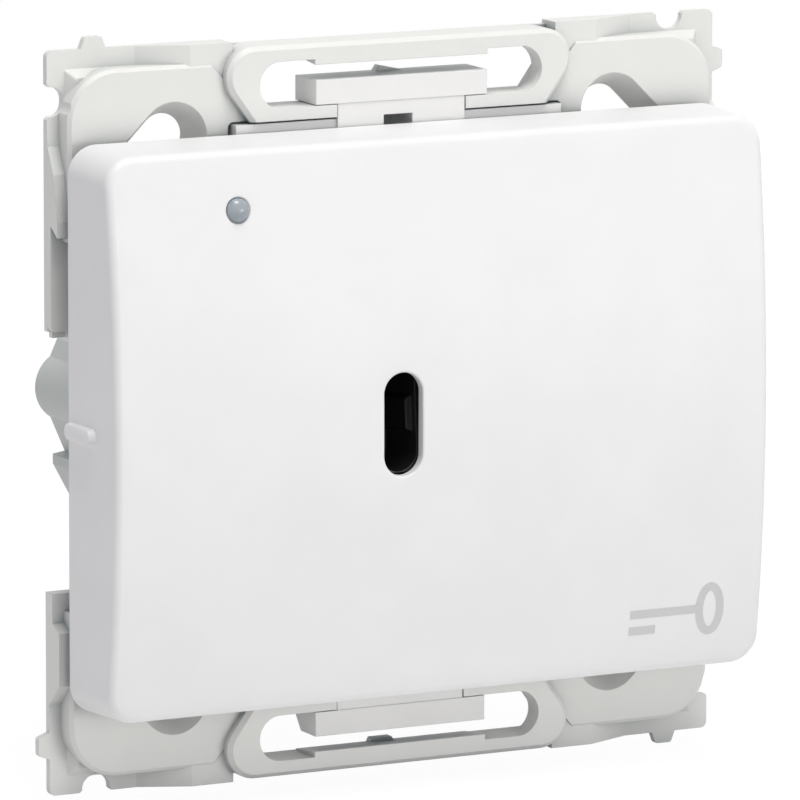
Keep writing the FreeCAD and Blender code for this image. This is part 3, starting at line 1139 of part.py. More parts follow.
def rear_cover():
    """Lid of the terminal block with wire funnels, wire guides and lever windows."""
    outer = BLOCK_REAR_Y + REAR_COVER_T
    lid = plate_block(BLOCK_HALF_W, BLOCK_HALF_H, BLOCK_REAR_Y, outer, BLOCK_CORNER_R)
    lid = lid.makeChamfer(REAR_COVER_CHAMFER, [edge for edge in lid.Edges
                                               if edge.BoundBox.YMin > outer - REAR_COVER_T / 2])
    pieces, cuts = [lid], []
    guide_front = BLOCK_REAR_Y - GUIDE_L
    guide_half_w, guide_half_h = WIRE_SPACING / 2 + WIRE_R + GUIDE_WALL, WIRE_R + GUIDE_WALL
    for x_side in (-1, 1):
        for z_side in (-1, 1):
            pieces.append(plate_block(guide_half_w, guide_half_h, guide_front, BLOCK_REAR_Y + GUIDE_WALL, 0,
                                      x_side * CHAMBER_X, z_side * WIRE_Z))
            for offset in (-WIRE_SPACING / 2, WIRE_SPACING / 2):
                x, z = x_side * CHAMBER_X + offset, z_side * WIRE_Z
                cuts.append(rod(WIRE_R, Vector(x, guide_front - PAST, z), Vector(x, outer + PAST, z)))
                throat = Vector(x, outer - FUNNEL_DEPTH, z)
                cuts.append(Part.makeCone(WIRE_R, FUNNEL_R, FUNNEL_DEPTH, throat, Y_AXIS))
            cuts.append(plate_block(LEVER_W / 2 + LEVER_FIT, LEVER_H / 2 + LEVER_FIT, BLOCK_REAR_Y - PAST,
                                    outer + PAST, LEVER_H / 8, x_side * CHAMBER_X, z_side * LEVER_Z))
            leg_z, leg_rear = z_side * LID_LEG_Z, outer - REAR_COVER_CHAMFER
            leg_x = x_side * (BLOCK_HALF_W + LID_LEG_GAP + LID_LEG_T / 2)
            bridge_half = (LID_LEG_GAP + LID_LEG_T) / 2 + REAR_COVER_CHAMFER / 2
            bridge_x = x_side * (BLOCK_HALF_W + LID_LEG_GAP + LID_LEG_T - bridge_half)
            for half_w, front, middle in ((LID_LEG_T / 2, BLOCK_REAR_Y - LID_LEG_L, leg_x),
                                          (bridge_half, BLOCK_REAR_Y, bridge_x)):
                pieces.append(plate_block(half_w, LID_LEG_W / 2, front, leg_rear, 0, middle, leg_z))
    return joined(*pieces).cut(cuts)


def build():
    """Every separate piece by its name."""
    parts = {
        "support_frame": support_frame(),
        "front_cover": front_cover(),
        "lamp_light_pipe": lamp_light_pipe(),
        "lamp_board": lamp_board(),
        "lamp_led": lamp_led(),
        "lamp_resistor": lamp_resistor(),
        "lamp_diode": lamp_diode(),
        "lamp_lead_switched": lamp_lead(0),
        "lamp_lead_neutral": lamp_lead(1),
        "insert_body": insert_body(),
        "key_receiver": key_receiver(),
        "rocker": rocker(),
        "plunger": plunger(),
        "plunger_spring": plunger_spring(),
        "seesaw_contact": seesaw_contact(),
        "moving_tips": moving_tips(),
        "fixed_tip_upper": fixed_tip(1),
        "fixed_tip_lower": fixed_tip(-1),
        "common_terminal": common_terminal(),
        "way_terminal_upper": way_terminal(1),
        "way_terminal_lower": way_terminal(-1),
        "neutral_terminal": neutral_terminal(),
        "contact_housing": contact_housing(),
        "rear_cover": rear_cover(),
    }
    quadrants = {"upper_left": (-1, 1), "lower_left": (-1, -1), "upper_right": (1, 1), "lower_right": (1, -1)}
    for place, (x_side, z_side) in quadrants.items():
        parts["clamp_springs_" + place] = clamp_springs(x_side, z_side)
        parts["release_lever_" + place] = release_lever(x_side, z_side)
    return parts


for node, shape in build().items():
    if not shape.isValid():
        print("not valid:", node)
    print(node, "solids", len(shape.Solids), "volume", round(shape.Volume, 2), "faces", len(shape.Faces))
    shape.exportStep("parts/" + node + ".step")
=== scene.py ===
# %% [markdown]
# # A key-operated two-way light switch
#
# This lesson dresses a two-way switch insert for Blender. It is a square module of one wall pitch: a
# pale support frame with screw slots at its corners, a curved white cover with a key slot and a small
# indicator lamp, and behind them the insert, the grey contact housing and its wire terminals. A key
# pushed into the slot tips a black rocker, and a sprung plunger throws a brass seesaw from one way to
# the other.
#
# The solids come from the CAD model, packed as a frame that already stands in metres, with its front
# towards -Y and up along +Z. Here they get their finishes, and the pieces whose curves matter most are
# made again as smooth surfaces.

import json
import math

import bmesh
import bpy
import numpy as np
from mathutils import Matrix, Vector


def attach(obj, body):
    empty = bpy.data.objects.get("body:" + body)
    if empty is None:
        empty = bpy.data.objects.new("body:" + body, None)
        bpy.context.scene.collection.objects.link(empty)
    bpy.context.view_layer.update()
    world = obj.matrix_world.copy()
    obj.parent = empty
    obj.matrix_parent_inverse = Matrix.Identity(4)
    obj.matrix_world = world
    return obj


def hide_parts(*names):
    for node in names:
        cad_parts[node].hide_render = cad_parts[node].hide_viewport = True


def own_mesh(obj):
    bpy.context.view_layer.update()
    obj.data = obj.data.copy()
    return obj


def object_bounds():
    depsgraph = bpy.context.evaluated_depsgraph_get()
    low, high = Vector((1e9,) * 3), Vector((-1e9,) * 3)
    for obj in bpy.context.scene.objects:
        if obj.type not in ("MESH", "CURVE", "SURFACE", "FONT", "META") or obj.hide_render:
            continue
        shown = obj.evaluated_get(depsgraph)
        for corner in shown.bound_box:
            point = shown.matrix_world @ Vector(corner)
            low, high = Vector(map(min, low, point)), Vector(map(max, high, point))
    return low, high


MM = 0.001
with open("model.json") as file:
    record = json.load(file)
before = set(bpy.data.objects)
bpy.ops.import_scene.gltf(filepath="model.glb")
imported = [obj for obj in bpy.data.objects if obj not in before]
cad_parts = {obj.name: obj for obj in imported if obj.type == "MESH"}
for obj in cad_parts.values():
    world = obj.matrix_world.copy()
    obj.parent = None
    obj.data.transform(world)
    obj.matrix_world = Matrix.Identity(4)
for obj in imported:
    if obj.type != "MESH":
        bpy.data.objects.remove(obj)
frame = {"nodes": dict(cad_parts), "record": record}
cad_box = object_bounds()

# %% [markdown]
# ## Camera
#
# The photograph was taken from the left and a little above, from far away with a long lens, so that
# parallel edges stay nearly parallel. A camera is fully given by the point it looks at, its distance,
# two angles, a slight roll and the lens. The three axes of the camera are worked out from the angles
# and written as the columns of its matrix, which leaves no doubt about the order of turns.

# %% Place the camera
VIEW_AZIMUTH, VIEW_ELEVATION, VIEW_ROLL = math.radians(-27.12), math.radians(9.81), math.radians(0.136)
VIEW_DISTANCE = 587 * MM
VIEW_TARGET = Vector((1.40, 0.0, -0.32)) * MM
FOCAL_PIXELS, IMAGE_SIDE, SENSOR = 8693.0, 800, 36.0


def camera_axes(azimuth, elevation, roll):
    """Right, up and backward axes of a camera; the backward one points from the target to the camera."""
    back = Vector((math.sin(azimuth) * math.cos(elevation), -math.cos(azimuth) * math.cos(elevation),
                   math.sin(elevation)))
    level = Vector((math.cos(azimuth), math.sin(azimuth), 0.0))
    rise = back.cross(level)
    right = level * math.cos(roll) + rise * math.sin(roll)
    return right, back.cross(right), back


right, up, back = camera_axes(VIEW_AZIMUTH, VIEW_ELEVATION, VIEW_ROLL)
lens = bpy.data.cameras.new("photo_camera")
lens.lens = FOCAL_PIXELS / IMAGE_SIDE * SENSOR
lens.sensor_width = SENSOR
lens.clip_start, lens.clip_end = 0.01, 10.0
camera = bpy.data.objects.new("photo_camera", lens)
turn = Matrix((right, up, back)).transposed().to_4x4()
camera.matrix_world = Matrix.Translation(VIEW_TARGET + back * VIEW_DISTANCE) @ turn
bpy.context.scene.collection.objects.link(camera)
bpy.context.scene.camera = camera
print("lens", round(lens.lens, 1), "mm")

# %% [markdown]
# ## Shader maths as plain Python
#
# A material is a network of nodes. Written as node calls, a simple product takes many lines, so a small
# class holds one output socket and gives it Python's arithmetic: `1 - mask` or `grain * 0.4 + 0.3` adds
# the Math nodes by itself. Every other node comes from one method, `node`, of the material's recipe.

# %% Sockets with arithmetic
class Flow:
    """One number that varies over a surface, with Python's arithmetic."""

    def __init__(self, recipe, socket):
        self.recipe, self.socket = recipe, socket

    def _maths(self, operation, first, second):
        return self.recipe.node("ShaderNodeMath", {"operation": operation}, {0: first, 1: second})

    def __add__(self, other):
        return self._maths("ADD", self, other)

    def __radd__(self, other):
        return self._maths("ADD", other, self)

    def __sub__(self, other):
        return self._maths("SUBTRACT", self, other)

    def __rsub__(self, other):
        return self._maths("SUBTRACT", other, self)

    def __mul__(self, other):
        return self._maths("MULTIPLY", self, other)

    def __rmul__(self, other):
        return self._maths("MULTIPLY", other, self)


class Recipe:
    """The node network of one material, ending in one Principled shader."""

    def __init__(self, name):
        self.material = bpy.data.materials.new(name)
        self.material.use_nodes = True
        self.tree = self.material.node_tree
        self.tree.nodes.clear()
        self.end = self.tree.nodes.new("ShaderNodeOutputMaterial")

    def node(self, kind, settings=None, values=None, out=0):
        """Adds a node, sets its settings first, then its sockets from values or from other flows."""
        made = self.tree.nodes.new(kind)
        for key, value in (settings or {}).items():
            setattr(made, key, value)
        for key, value in (values or {}).items():
            if isinstance(value, Flow):
                self.tree.links.new(value.socket, made.inputs[key])
            else:
                made.inputs[key].default_value = value
        return Flow(self, made.outputs[out])

    def ramp(self, flow, stops):
        """Colour ramp between two stops, each a (position, colour) pair."""
        made = self.node("ShaderNodeValToRGB", None, {0: flow})
        for element, (position, colour) in zip(made.socket.node.color_ramp.elements, stops):
            element.position, element.color = position, (*colour, 1.0)
        return made

    def blend(self, share, first, second):
        """Colour mix: the first where share is 0, the second where it is 1."""
        return self.node("ShaderNodeMix", {"data_type": "RGBA"}, {0: share, 6: first, 7: second}, 2)

    def place(self, scale=(1.0, 1.0, 1.0)):
        """Object coordinates in millimetres, stretched by a scale along each axis."""
        spot = self.node("ShaderNodeTexCoord", None, None, "Object")
        sizes = tuple(1000.0 * s for s in scale)
        return self.node("ShaderNodeMapping", {"vector_type": "POINT"}, {"Vector": spot, "Scale": sizes})

    def noise(self, where, scale, detail):
        """Soft random pattern between 0 and 1, with scale waves per millimetre."""
        return self.node("ShaderNodeTexNoise", None, {"Vector": where, "Scale": scale, "Detail": detail})

    def bump(self, height, depth_mm, under=None):
        """Normal bent by a height map whose full swing is depth_mm."""
        values = {"Height": height, "Distance": depth_mm * MM, "Strength": 1.0}
        if under is not None:
            values["Normal"] = under
        return self.node("ShaderNodeBump", None, values)

    def finish(self, **values):
        """Ends the network in a Principled shader with these sockets, and returns the material."""
        named = {key.replace("_", " "): value for key, value in values.items()}
        named = {"IOR" if key == "Ior" else key: value for key, value in named.items()}
        shader = self.node("ShaderNodeBsdfPrincipled", None, named)
        self.tree.links.new(shader.socket, self.end.inputs["Surface"])
        return self.material


print("shader helpers ready")

# %% [markdown]
# ## Light and background
#
# The photograph has a pure white background without a horizon, and a soft light: the cover's top edge is
# its brightest line, its front is nearly white and fades a little downwards, and its left side is a calm
# grey. The world is white for the camera's own rays, and for the rays seen in glass and metal, while a
# weaker, slightly violet grey does the lighting. A key lamp hangs high in front. A wide fill stands far
# off at the right, low down where the cover's front would mirror the camera, and its light skims in just
# over the floor: that gives the front its even sheen. Both lamps are large squares rather than points,
# because a large lamp draws soft shadows and broad highlights.

# %% Light the studio
WORLD_STRENGTH, WORLD_COLOUR = 0.445, (0.965, 0.957, 1.0, 1)
LAMP_COLOUR = (1.0, 0.99, 0.965)


def seen_directly(tree):
    """1 for camera, glossy and transmission rays, else 0: a sum of the three, clamped."""
    path = tree.nodes.new("ShaderNodeLightPath")
    first = tree.nodes.new("ShaderNodeMath")
    second = tree.nodes.new("ShaderNodeMath")
    first.operation = second.operation = "ADD"
    second.use_clamp = True
    tree.links.new(path.outputs["Is Camera Ray"], first.inputs[0])
    tree.links.new(path.outputs["Is Glossy Ray"], first.inputs[1])
    tree.links.new(first.outputs[0], second.inputs[0])
    tree.links.new(path.outputs["Is Transmission Ray"], second.inputs[1])
    return second.outputs[0]


def make_world():
    """White where it is seen, a weaker grey where it lights."""
    world = bpy.data.worlds.new("studio")
    world.use_nodes = True
    tree = world.node_tree
    tree.nodes.clear()
    seen, lighting = tree.nodes.new("ShaderNodeBackground"), tree.nodes.new("ShaderNodeBackground")
    seen.inputs["Color"].default_value = (1, 1, 1, 1)
    lighting.inputs["Color"].default_value = WORLD_COLOUR
    lighting.inputs["Strength"].default_value = WORLD_STRENGTH
    mix, end = tree.nodes.new("ShaderNodeMixShader"), tree.nodes.new("ShaderNodeOutputWorld")
    tree.links.new(seen_directly(tree), mix.inputs[0])
    tree.links.new(lighting.outputs[0], mix.inputs[1])
    tree.links.new(seen.outputs[0], mix.inputs[2])
    tree.links.new(mix.outputs[0], end.inputs["Surface"])
    bpy.context.scene.world = world


def area_lamp(name, place_mm, size_mm, power):
    """Square soft lamp at a place in millimetres, turned to face the module's middle."""
    data = bpy.data.lights.new(name, "AREA")
    data.energy, data.size, data.color = power, size_mm * MM, LAMP_COLOUR
    lamp = bpy.data.objects.new(name, data)
    place = Vector(place_mm) * MM
    lamp.matrix_world = Matrix.Translation(place) @ place.to_track_quat("Z", "Y").to_matrix().to_4x4()
    bpy.context.scene.collection.objects.link(lamp)


make_world()
area_lamp("key_above", (-10, -160, 440), 200, 1.34)
area_lamp("fill_low_right", (270, -530, -105), 320, 2.65)
bpy.context.scene.view_settings.view_transform = "Standard"
print("world and lamps ready")

# %% [markdown]
# The module stands on a white floor that is mostly a plain glow for the camera, so that it melts into
# the background. Only a small share of it is a real diffuse surface, which keeps a faint shadow.

# %% Lay the floor
FLOOR_DROP, FLOOR_HALF = 0.3, 900.0
FLOOR_GLOW, FLOOR_GREY, SHADOW_SHARE = 1.06, (0.8, 0.8, 0.8, 1), 0.10


def make_floor():
    """White floor under the module: mostly a plain white, with a small share that takes the shadow."""
    level = cad_box[0].z / MM - FLOOR_DROP
    data = bpy.data.meshes.new("studio_floor")
    corners = np.array([(-1, -1), (1, -1), (1, 1), (-1, 1)]) * FLOOR_HALF
    verts = np.column_stack([corners, np.full(4, level)]) * MM
    data.from_pydata(verts.tolist(), [], [(0, 1, 2, 3)])
    floor = bpy.data.objects.new("studio_floor", data)
    bpy.context.scene.collection.objects.link(floor)
    recipe = Recipe("studio_white")
    tree = recipe.tree
    plain = recipe.node("ShaderNodeEmission", None, {"Color": (1, 1, 1, 1), "Strength": FLOOR_GLOW})
    shaded = recipe.node("ShaderNodeBsdfDiffuse", None, {"Color": FLOOR_GREY})
    share = Flow(recipe, seen_directly(tree)) * (1 - SHADOW_SHARE)
    mixed = recipe.node("ShaderNodeMixShader", None, {0: share, 1: shaded, 2: plain})
    tree.links.new(mixed.socket, recipe.end.inputs["Surface"])
    data.materials.append(recipe.material)
    print("floor at z =", round(level, 2), "mm")


make_floor()

# %% [markdown]
# ## Moulded plastics
#
# Nearly every plastic here is an injection moulding. Its tool was spark eroded, which leaves a pebbled
# grain one or two tenths of a millimetre across, and the flow of the melt leaves very faint clouds in
# the colour. Polished faces keep only a long, low waviness. On the thin frame and the insert, shade is
# also painted into the colour: it turns darker and a little blue in their narrow corners, where little light
# gets in.
#
# The grain could be painted in an image, but then every piece would have to be unwrapped. Noise in object
# coordinates needs no unwrapping and is sized in millimetres, so one recipe covers all the plastics, from
# their colour, their roughness and their grain's size and depth.

# %% Plastic recipe
EDGE_R = 0.08
CLOUDS_PER_MM, CLOUD_PALE, CLOUD_DARK, WAVES_PER_MM = 0.16, 1.012, 0.985, 0.22
ROUGH_SWING = 0.08
# Painted shade: how far the occlusion looks for walls, how strongly it darkens the colour, and its tint.
PAINTED_SHADE_REACH, PAINTED_SHADE_GAIN, PAINTED_SHADE_TINT = 2.5, 1.3, (1.0, 0.93, 0.90)


def moulded(name, colour, roughness, grain_mm, depth_mm, wave_mm=0.0, painted_shade=0.0):
    """Moulded plastic: colour clouds, uneven roughness, pebbled bump, and edges softened by a tiny radius.
    Painted shade in the corners: the last argument says how dark the colour is painted deep in them, and
    the tone sinks with the square of how closed in a point is within the occlusion's reach."""
    recipe = Recipe(name)
    where = recipe.place()
    clouds = recipe.noise(where, CLOUDS_PER_MM, 3.0)
    pale = tuple(min(1.0, c * CLOUD_PALE) for c in colour)
    dark = tuple(c * CLOUD_DARK for c in colour)
    tone = recipe.ramp(clouds, [(0.35, dark), (0.65, pale)])
    # Painted shade: where little light gets in, ambient occlusion darkens the colour and turns it a little
    # blue.
    if painted_shade:
        reach = {"Distance": PAINTED_SHADE_REACH * MM}
        closed = 1 - recipe.node("ShaderNodeAmbientOcclusion", {"samples": 6}, reach, "AO")
        shade = tuple(c * (1 - painted_shade * tint) for c, tint in zip(colour, PAINTED_SHADE_TINT))
        tone = recipe.blend(closed * closed * PAINTED_SHADE_GAIN, tone, (*shade, 1.0))
    grain = recipe.noise(where, 1.0 / grain_mm, 2.0)
    edge = recipe.node("ShaderNodeBevel", {"samples": 6}, {"Radius": EDGE_R * MM})
    normal = recipe.bump(grain, depth_mm, edge)
    if wave_mm:
        normal = recipe.bump(recipe.noise(where, WAVES_PER_MM, 1.0), wave_mm, normal)
    spread = grain * ROUGH_SWING + (roughness - ROUGH_SWING / 2)
    return recipe.finish(Base_Color=tone, Roughness=spread, Normal=normal)


# The corner darkening is painted shade.
print("edges softened over", EDGE_R, "mm, corners darkened within", PAINTED_SHADE_REACH, "mm")

# %% [markdown]
# The cover is a satin white with hardly any grain and a faint waviness. The support frame under it is
# the same family of plastic but matt, a little duller and warmer. The insert's plate is plain white, and
# the housing at the back is a light grey with a trace of green. The key receiver is glass-filled black
# nylon. A colour here is the share of light that the plastic sends back, so even the nearly white cover
# stays at 0.87.

# %% Mix the plastics
finishes = {
    "cover_plastic": moulded("cover_plastic", (0.87, 0.87, 0.875), 0.42, 0.10, 0.0012, wave_mm=0.004),
    # The frame and the insert get painted shade in their narrow corners.
    "frame_plastic": moulded("frame_plastic", (0.80, 0.805, 0.78), 0.50, 0.16, 0.004, painted_shade=0.9),
    "insert_plastic": moulded("insert_plastic", (0.83, 0.83, 0.82), 0.44, 0.12, 0.003, painted_shade=0.3),
    "black_plastic": moulded("black_plastic", (0.010, 0.010, 0.011), 0.42, 0.14, 0.005),
    "plunger_plastic": moulded("plunger_plastic", (0.86, 0.84, 0.77), 0.30, 0.20, 0.002),
    "housing_plastic": moulded("housing_plastic", (0.57, 0.60, 0.585), 0.50, 0.16, 0.005),
    "rear_plastic": moulded("rear_plastic", (0.60, 0.62, 0.62), 0.46, 0.16, 0.004),
    "lever_plastic": moulded("lever_plastic", (0.84, 0.84, 0.82), 0.40, 0.14, 0.003),
    "lead_brown": moulded("lead_brown", (0.16, 0.07, 0.03), 0.40, 0.30, 0.003),
    "lead_blue": moulded("lead_blue", (0.03, 0.10, 0.38), 0.40, 0.30, 0.003),
    "diode_body": moulded("diode_body", (0.02, 0.02, 0.022), 0.32, 0.10, 0.004),
    "lamp_body": moulded("lamp_body", (0.86, 0.80, 0.58), 0.25, 0.10, 0.002),
}
print("plastics:", len(finishes))

# %% [markdown]
# ## Clear plastic, metals and the board
#
# The lamp's dome is half clear polycarbonate, tinted a little by what lies in the dark behind it. The
# metals are stamped or drawn, so their roughness runs in fine lines along the strip. The silver tips are
# round and only brushed by their own wiping. The board has the woven glass cloth of its laminate under a
# green lacquer, the resistor a speckled lacquer over ceramic, and the key sign is a matt grey ink. Each
# kind gets a short recipe of its own, because each is known by another sign: lines, a weave, a speckle.

# %% Mix the other finishes
BRUSH_SWING, BRUSH_WORN = 0.22, 0.86


def brushed(name, colour, roughness, lines=(1.0, 18.0, 18.0)):
    """Metal with fine lines: noise squeezed hard across one axis drives roughness and a slight bump."""
    recipe = Recipe(name)
    streaks = recipe.noise(recipe.place(lines), 0.6, 3.0)
    stains = recipe.noise(recipe.place(), 0.35, 2.0)
    worn = tuple(c * BRUSH_WORN for c in colour)
    tone = recipe.ramp(stains, [(0.3, worn), (0.7, colour)])
    rough = streaks * BRUSH_SWING + (roughness - BRUSH_SWING / 2)
    return recipe.finish(Base_Color=tone, Metallic=1.0, Roughness=rough,
                         Normal=recipe.bump(streaks, 0.002))


def clear_plastic():
    """Half clear, faintly blue polycarbonate: part of the light is scattered in it, part refracted."""
    recipe = Recipe("clear_plastic")
    ripples = recipe.noise(recipe.place(), 1.6, 1.0)
    return recipe.finish(Base_Color=(0.70, 0.79, 0.85, 1), Roughness=0.19, Ior=1.58,
                         Transmission_Weight=0.55, Normal=recipe.bump(ripples, 0.02))


def board_laminate():
    """Green lacquer over woven glass cloth: two crossed waves make the weave."""
    recipe = Recipe("board_laminate")
    where = recipe.place()
    threads = {"Vector": where, "Scale": 0.8}
    warp = recipe.node("ShaderNodeTexWave", {"bands_direction": "X"}, threads, 1)
    weft = recipe.node("ShaderNodeTexWave", {"bands_direction": "Z"}, threads, 1)
    weave = warp * weft
    tone = recipe.ramp(weave, [(0.0, (0.02, 0.12, 0.05)), (1.0, (0.04, 0.20, 0.09))])
    return recipe.finish(Base_Color=tone, Roughness=weave * 0.1 + 0.25, Normal=recipe.bump(weave, 0.01))


def resistor_coat():
    """Beige lacquer, speckled."""
    recipe = Recipe("resistor_coat")
    speckle = recipe.noise(recipe.place(), 9.0, 2.0)
    tone = recipe.ramp(speckle, [(0.4, (0.52, 0.38, 0.20)), (0.6, (0.60, 0.46, 0.27))])
    return recipe.finish(Base_Color=tone, Roughness=speckle * 0.1 + 0.22,
                         Normal=recipe.bump(speckle, 0.004))


def printed_grey():
    """Light grey ink, matt, with a slightly uneven film."""
    recipe = Recipe("printed_grey")
    film = recipe.noise(recipe.place(), 6.0, 3.0)
    tone = recipe.ramp(film, [(0.3, (0.615, 0.615, 0.615)), (0.7, (0.645, 0.645, 0.645))])
    return recipe.finish(Base_Color=tone, Roughness=film * 0.1 + 0.45, Normal=recipe.bump(film, 0.001))


finishes |= {
    "clear_plastic": clear_plastic(),
    "board_laminate": board_laminate(),
    "resistor_coat": resistor_coat(),
    "contact_brass": brushed("contact_brass", (0.78, 0.57, 0.25), 0.34),
    "contact_silver": brushed("contact_silver", (0.88, 0.87, 0.84), 0.28, (6.0, 6.0, 6.0)),
    "spring_steel": brushed("spring_steel", (0.58, 0.58, 0.60), 0.30, (18.0, 1.0, 18.0)),
    "printed_grey": printed_grey(),
}
print("finishes:", len(finishes))

# %% [markdown]
# ## Finishes on the CAD pieces
#
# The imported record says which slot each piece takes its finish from. The finishes could be listed here
# piece by piece, but handing them out by asking the record keeps the two in step. The pieces keep their
# meshes: only what is in their material slots changes.

# %% Hand out the finishes
slots = {row["node"]: row["material_slot"] for row in frame["record"]["subparts"]}
for name, solid in frame["nodes"].items():
    solid.data.materials.clear()
    solid.data.materials.append(finishes[slots[name]])
print("finished nodes:", len(slots))

# %% [markdown]
# ## Surfaces from numpy arrays
#
# A smooth piece could be built up from primitives and modifiers. Here it is worked out instead, because
# a formula gives the exact curve and the same points each time. Most pieces are grids of points. A grid
# wraps round on itself one way, as an outline does, and in the other way it runs from one closed end to
# the other, so the result is one skin without a hole. All the points come from array formulas, and the
# faces from index arithmetic, so no loop touches a single vertex.

# %% Mesh helpers
SHARP_DEGREES, CUT_SHARP_DEGREES = 32, 35


def wrap(grid):
    """Closed skin from an array (rows, columns, 3) in mm: columns wrap round, the first and last rows
    each close on their own middle point."""
    rows, columns, _ = grid.shape
    points = np.vstack([grid.reshape(-1, 3), grid[0].mean(0), grid[-1].mean(0)])
    row, column = np.meshgrid(np.arange(rows - 1), np.arange(columns), indexing="ij")
    after = (column + 1) % columns
    quads = np.stack([row * columns + column, row * columns + after,
                      (row + 1) * columns + after, (row + 1) * columns + column], -1).reshape(-1, 4)
    ring, following = np.arange(columns), (np.arange(columns) + 1) % columns
    first = np.stack([following, ring, np.full(columns, rows * columns)], -1)
    base = (rows - 1) * columns
    last = np.stack([base + ring, base + following, np.full(columns, rows * columns + 1)], -1)
    return points, [*quads.tolist(), *first.tolist(), *last.tolist()]


def mesh_object(name, skins, finish, sharp_degrees=SHARP_DEGREES):
    """One object from several closed skins, in metres, smooth except along edges sharper than an angle."""
    points, faces, start = [], [], 0
    for skin_points, skin_faces in skins:
        points.append(skin_points)
        faces += [[corner + start for corner in face] for face in skin_faces]
        start += len(skin_points)
    data = bpy.data.meshes.new(name)
    data.from_pydata((np.vstack(points) * MM).tolist(), [], faces)
    data.materials.append(finishes[finish])
    piece = bpy.data.objects.new(name, data)
    bpy.context.scene.collection.objects.link(piece)
    outward(piece)
    data.shade_smooth()
    data.set_sharp_from_angle(angle=math.radians(sharp_degrees))
    return piece


def outward(piece):
    """Turns every closed skin's faces outwards."""
    work = bmesh.new()
    work.from_mesh(piece.data)
    bmesh.ops.recalc_face_normals(work, faces=work.faces)
    work.to_mesh(piece.data)
    work.free()


def settle(piece, body, slot, *nodes):
    """Hangs a piece on the body it rides on and hides the CAD nodes it stands for. The slot argument is not
    used."""
    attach(piece, body)
    if nodes:
        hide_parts(*nodes)
    print(piece.name, "faces:", len(piece.data.polygons))


print("edges stay sharp over", SHARP_DEGREES, "degrees")

# %% [markdown]
# ## Outlines with round corners
#
# Nearly every moulding starts from a rounded rectangle. Its points come with their outward normals, so
# that a wall, a fillet or a bevel can later be carried inward by any amount.

# %% Rounded outlines
ARC_STEPS, SIDE_STEPS = 10, 20


def rounded_outline(half_a, half_b, radius, arc_steps=ARC_STEPS, side_steps=SIDE_STEPS):
    """Rounded rectangle, anticlockwise: (points, normals), each an array (n, 2).
    Corner: centre + radius * (cos t, sin t). Side: straight run between two corners, where there is one."""
    signs = ((1, 1), (-1, 1), (-1, -1), (1, -1))
    points, normals = [], []
    for quarter, (sign_a, sign_b) in enumerate(signs):
        angle = np.linspace(0, math.pi / 2, arc_steps + 1) + quarter * math.pi / 2
        ray = np.column_stack([np.cos(angle), np.sin(angle)])
        centre = np.array([sign_a * (half_a - radius), sign_b * (half_b - radius)])
        points.append(centre + radius * ray)
        normals.append(ray)
        next_a, next_b = signs[(quarter + 1) % 4]
        end = np.array([next_a * (half_a - radius), next_b * (half_b - radius)]) + radius * ray[-1]
        if np.allclose(end, points[-1][-1]):
            points[-1], normals[-1] = points[-1][:-1], normals[-1][:-1]
            continue
        share = np.linspace(0, 1, side_steps + 1)[1:-1, None]
        points.append(points[-1][-1] * (1 - share) + end * share)
        normals.append(np.repeat(ray[-1:], side_steps - 1, 0))
    return np.vstack(points), np.vstack(normals)


def slab(half_a, half_b, radius, low, high, bevel, centre, steps=4):
    """Closed rounded slab from y = low to y = high in mm; a quarter-round bevel runs along its low edge.
    Row at bevel angle t: inset = bevel * (1 - cos t), y = low + bevel * (1 - sin t)."""
    outline, normal = rounded_outline(half_a, half_b, radius)
    rows = [(0.0, high)]
    for t in np.linspace(0, math.pi / 2, steps + 1):
        rows.append((bevel * (1 - math.cos(t)), low + bevel * (1 - math.sin(t))))
    grid = []
    for inset, y in rows:
        flat = outline - normal * inset + np.array(centre)
        grid.append(np.column_stack([flat[:, 0], np.full(len(flat), y), flat[:, 1]]))
    return wrap(np.array(grid))


print("points round a 4 by 2 mm outline:", len(rounded_outline(2.0, 1.0, 0.5)[0]))

# %% [markdown]
# ## The cover
#
# The cover is a shallow box whose front is part of a large cylinder lying across it, so it is deepest
# near the middle and falls away to the top and the bottom. A soft round edge leads from the front into
# the sides, which lean in a little for the mould's draft. A cube with a bevel would give round edges
# too, but not a front that stays a true cylinder right up to them. So the mesh is one sheet carried along
# a path of rows: from the middle of the inner face out to the inner wall, round the rear rim, up the
# outer side, over the round edge and back to the middle.

# %% Sizes of the cover
COVER_HALF_W, COVER_HALF_H = 24.65, 19.0
COVER_REAR_Y, COVER_FRONT_Y = -3.0, -9.9
COVER_ARC_R, COVER_ARC_Z = 125.0, -0.85
COVER_CORNER_R, COVER_EDGE_R, COVER_LEAN = 2.0, 0.55, 0.26
COVER_WALL, COVER_FRONT_WALL = 1.6, 1.8
COVER_ARC_STEPS, COVER_SIDE_STEPS = 12, 36
INNER_ROWS, SIDE_ROWS, EDGE_ROWS, OUTER_ROWS, MIDDLE_SHARE = 14, 7, 11, 34, 0.02


def front_y(z, depth=0.0):
    """Depth of the curved front at height z: the cylinder's own circle, shrunk by a depth under the skin."""
    return COVER_FRONT_Y + COVER_ARC_R - np.sqrt((COVER_ARC_R - depth) ** 2 - (z - COVER_ARC_Z) ** 2)


def leaning(outline, y):
    """Outline at depths y, moulded with draft: every side leans in towards the front by COVER_LEAN."""
    lean = COVER_LEAN * (COVER_REAR_Y - y) / (COVER_REAR_Y - COVER_FRONT_Y)
    return np.column_stack([outline[:, 0] * (1 - lean / COVER_HALF_W), y,
                            outline[:, 1] * (1 - lean / COVER_HALF_H)])


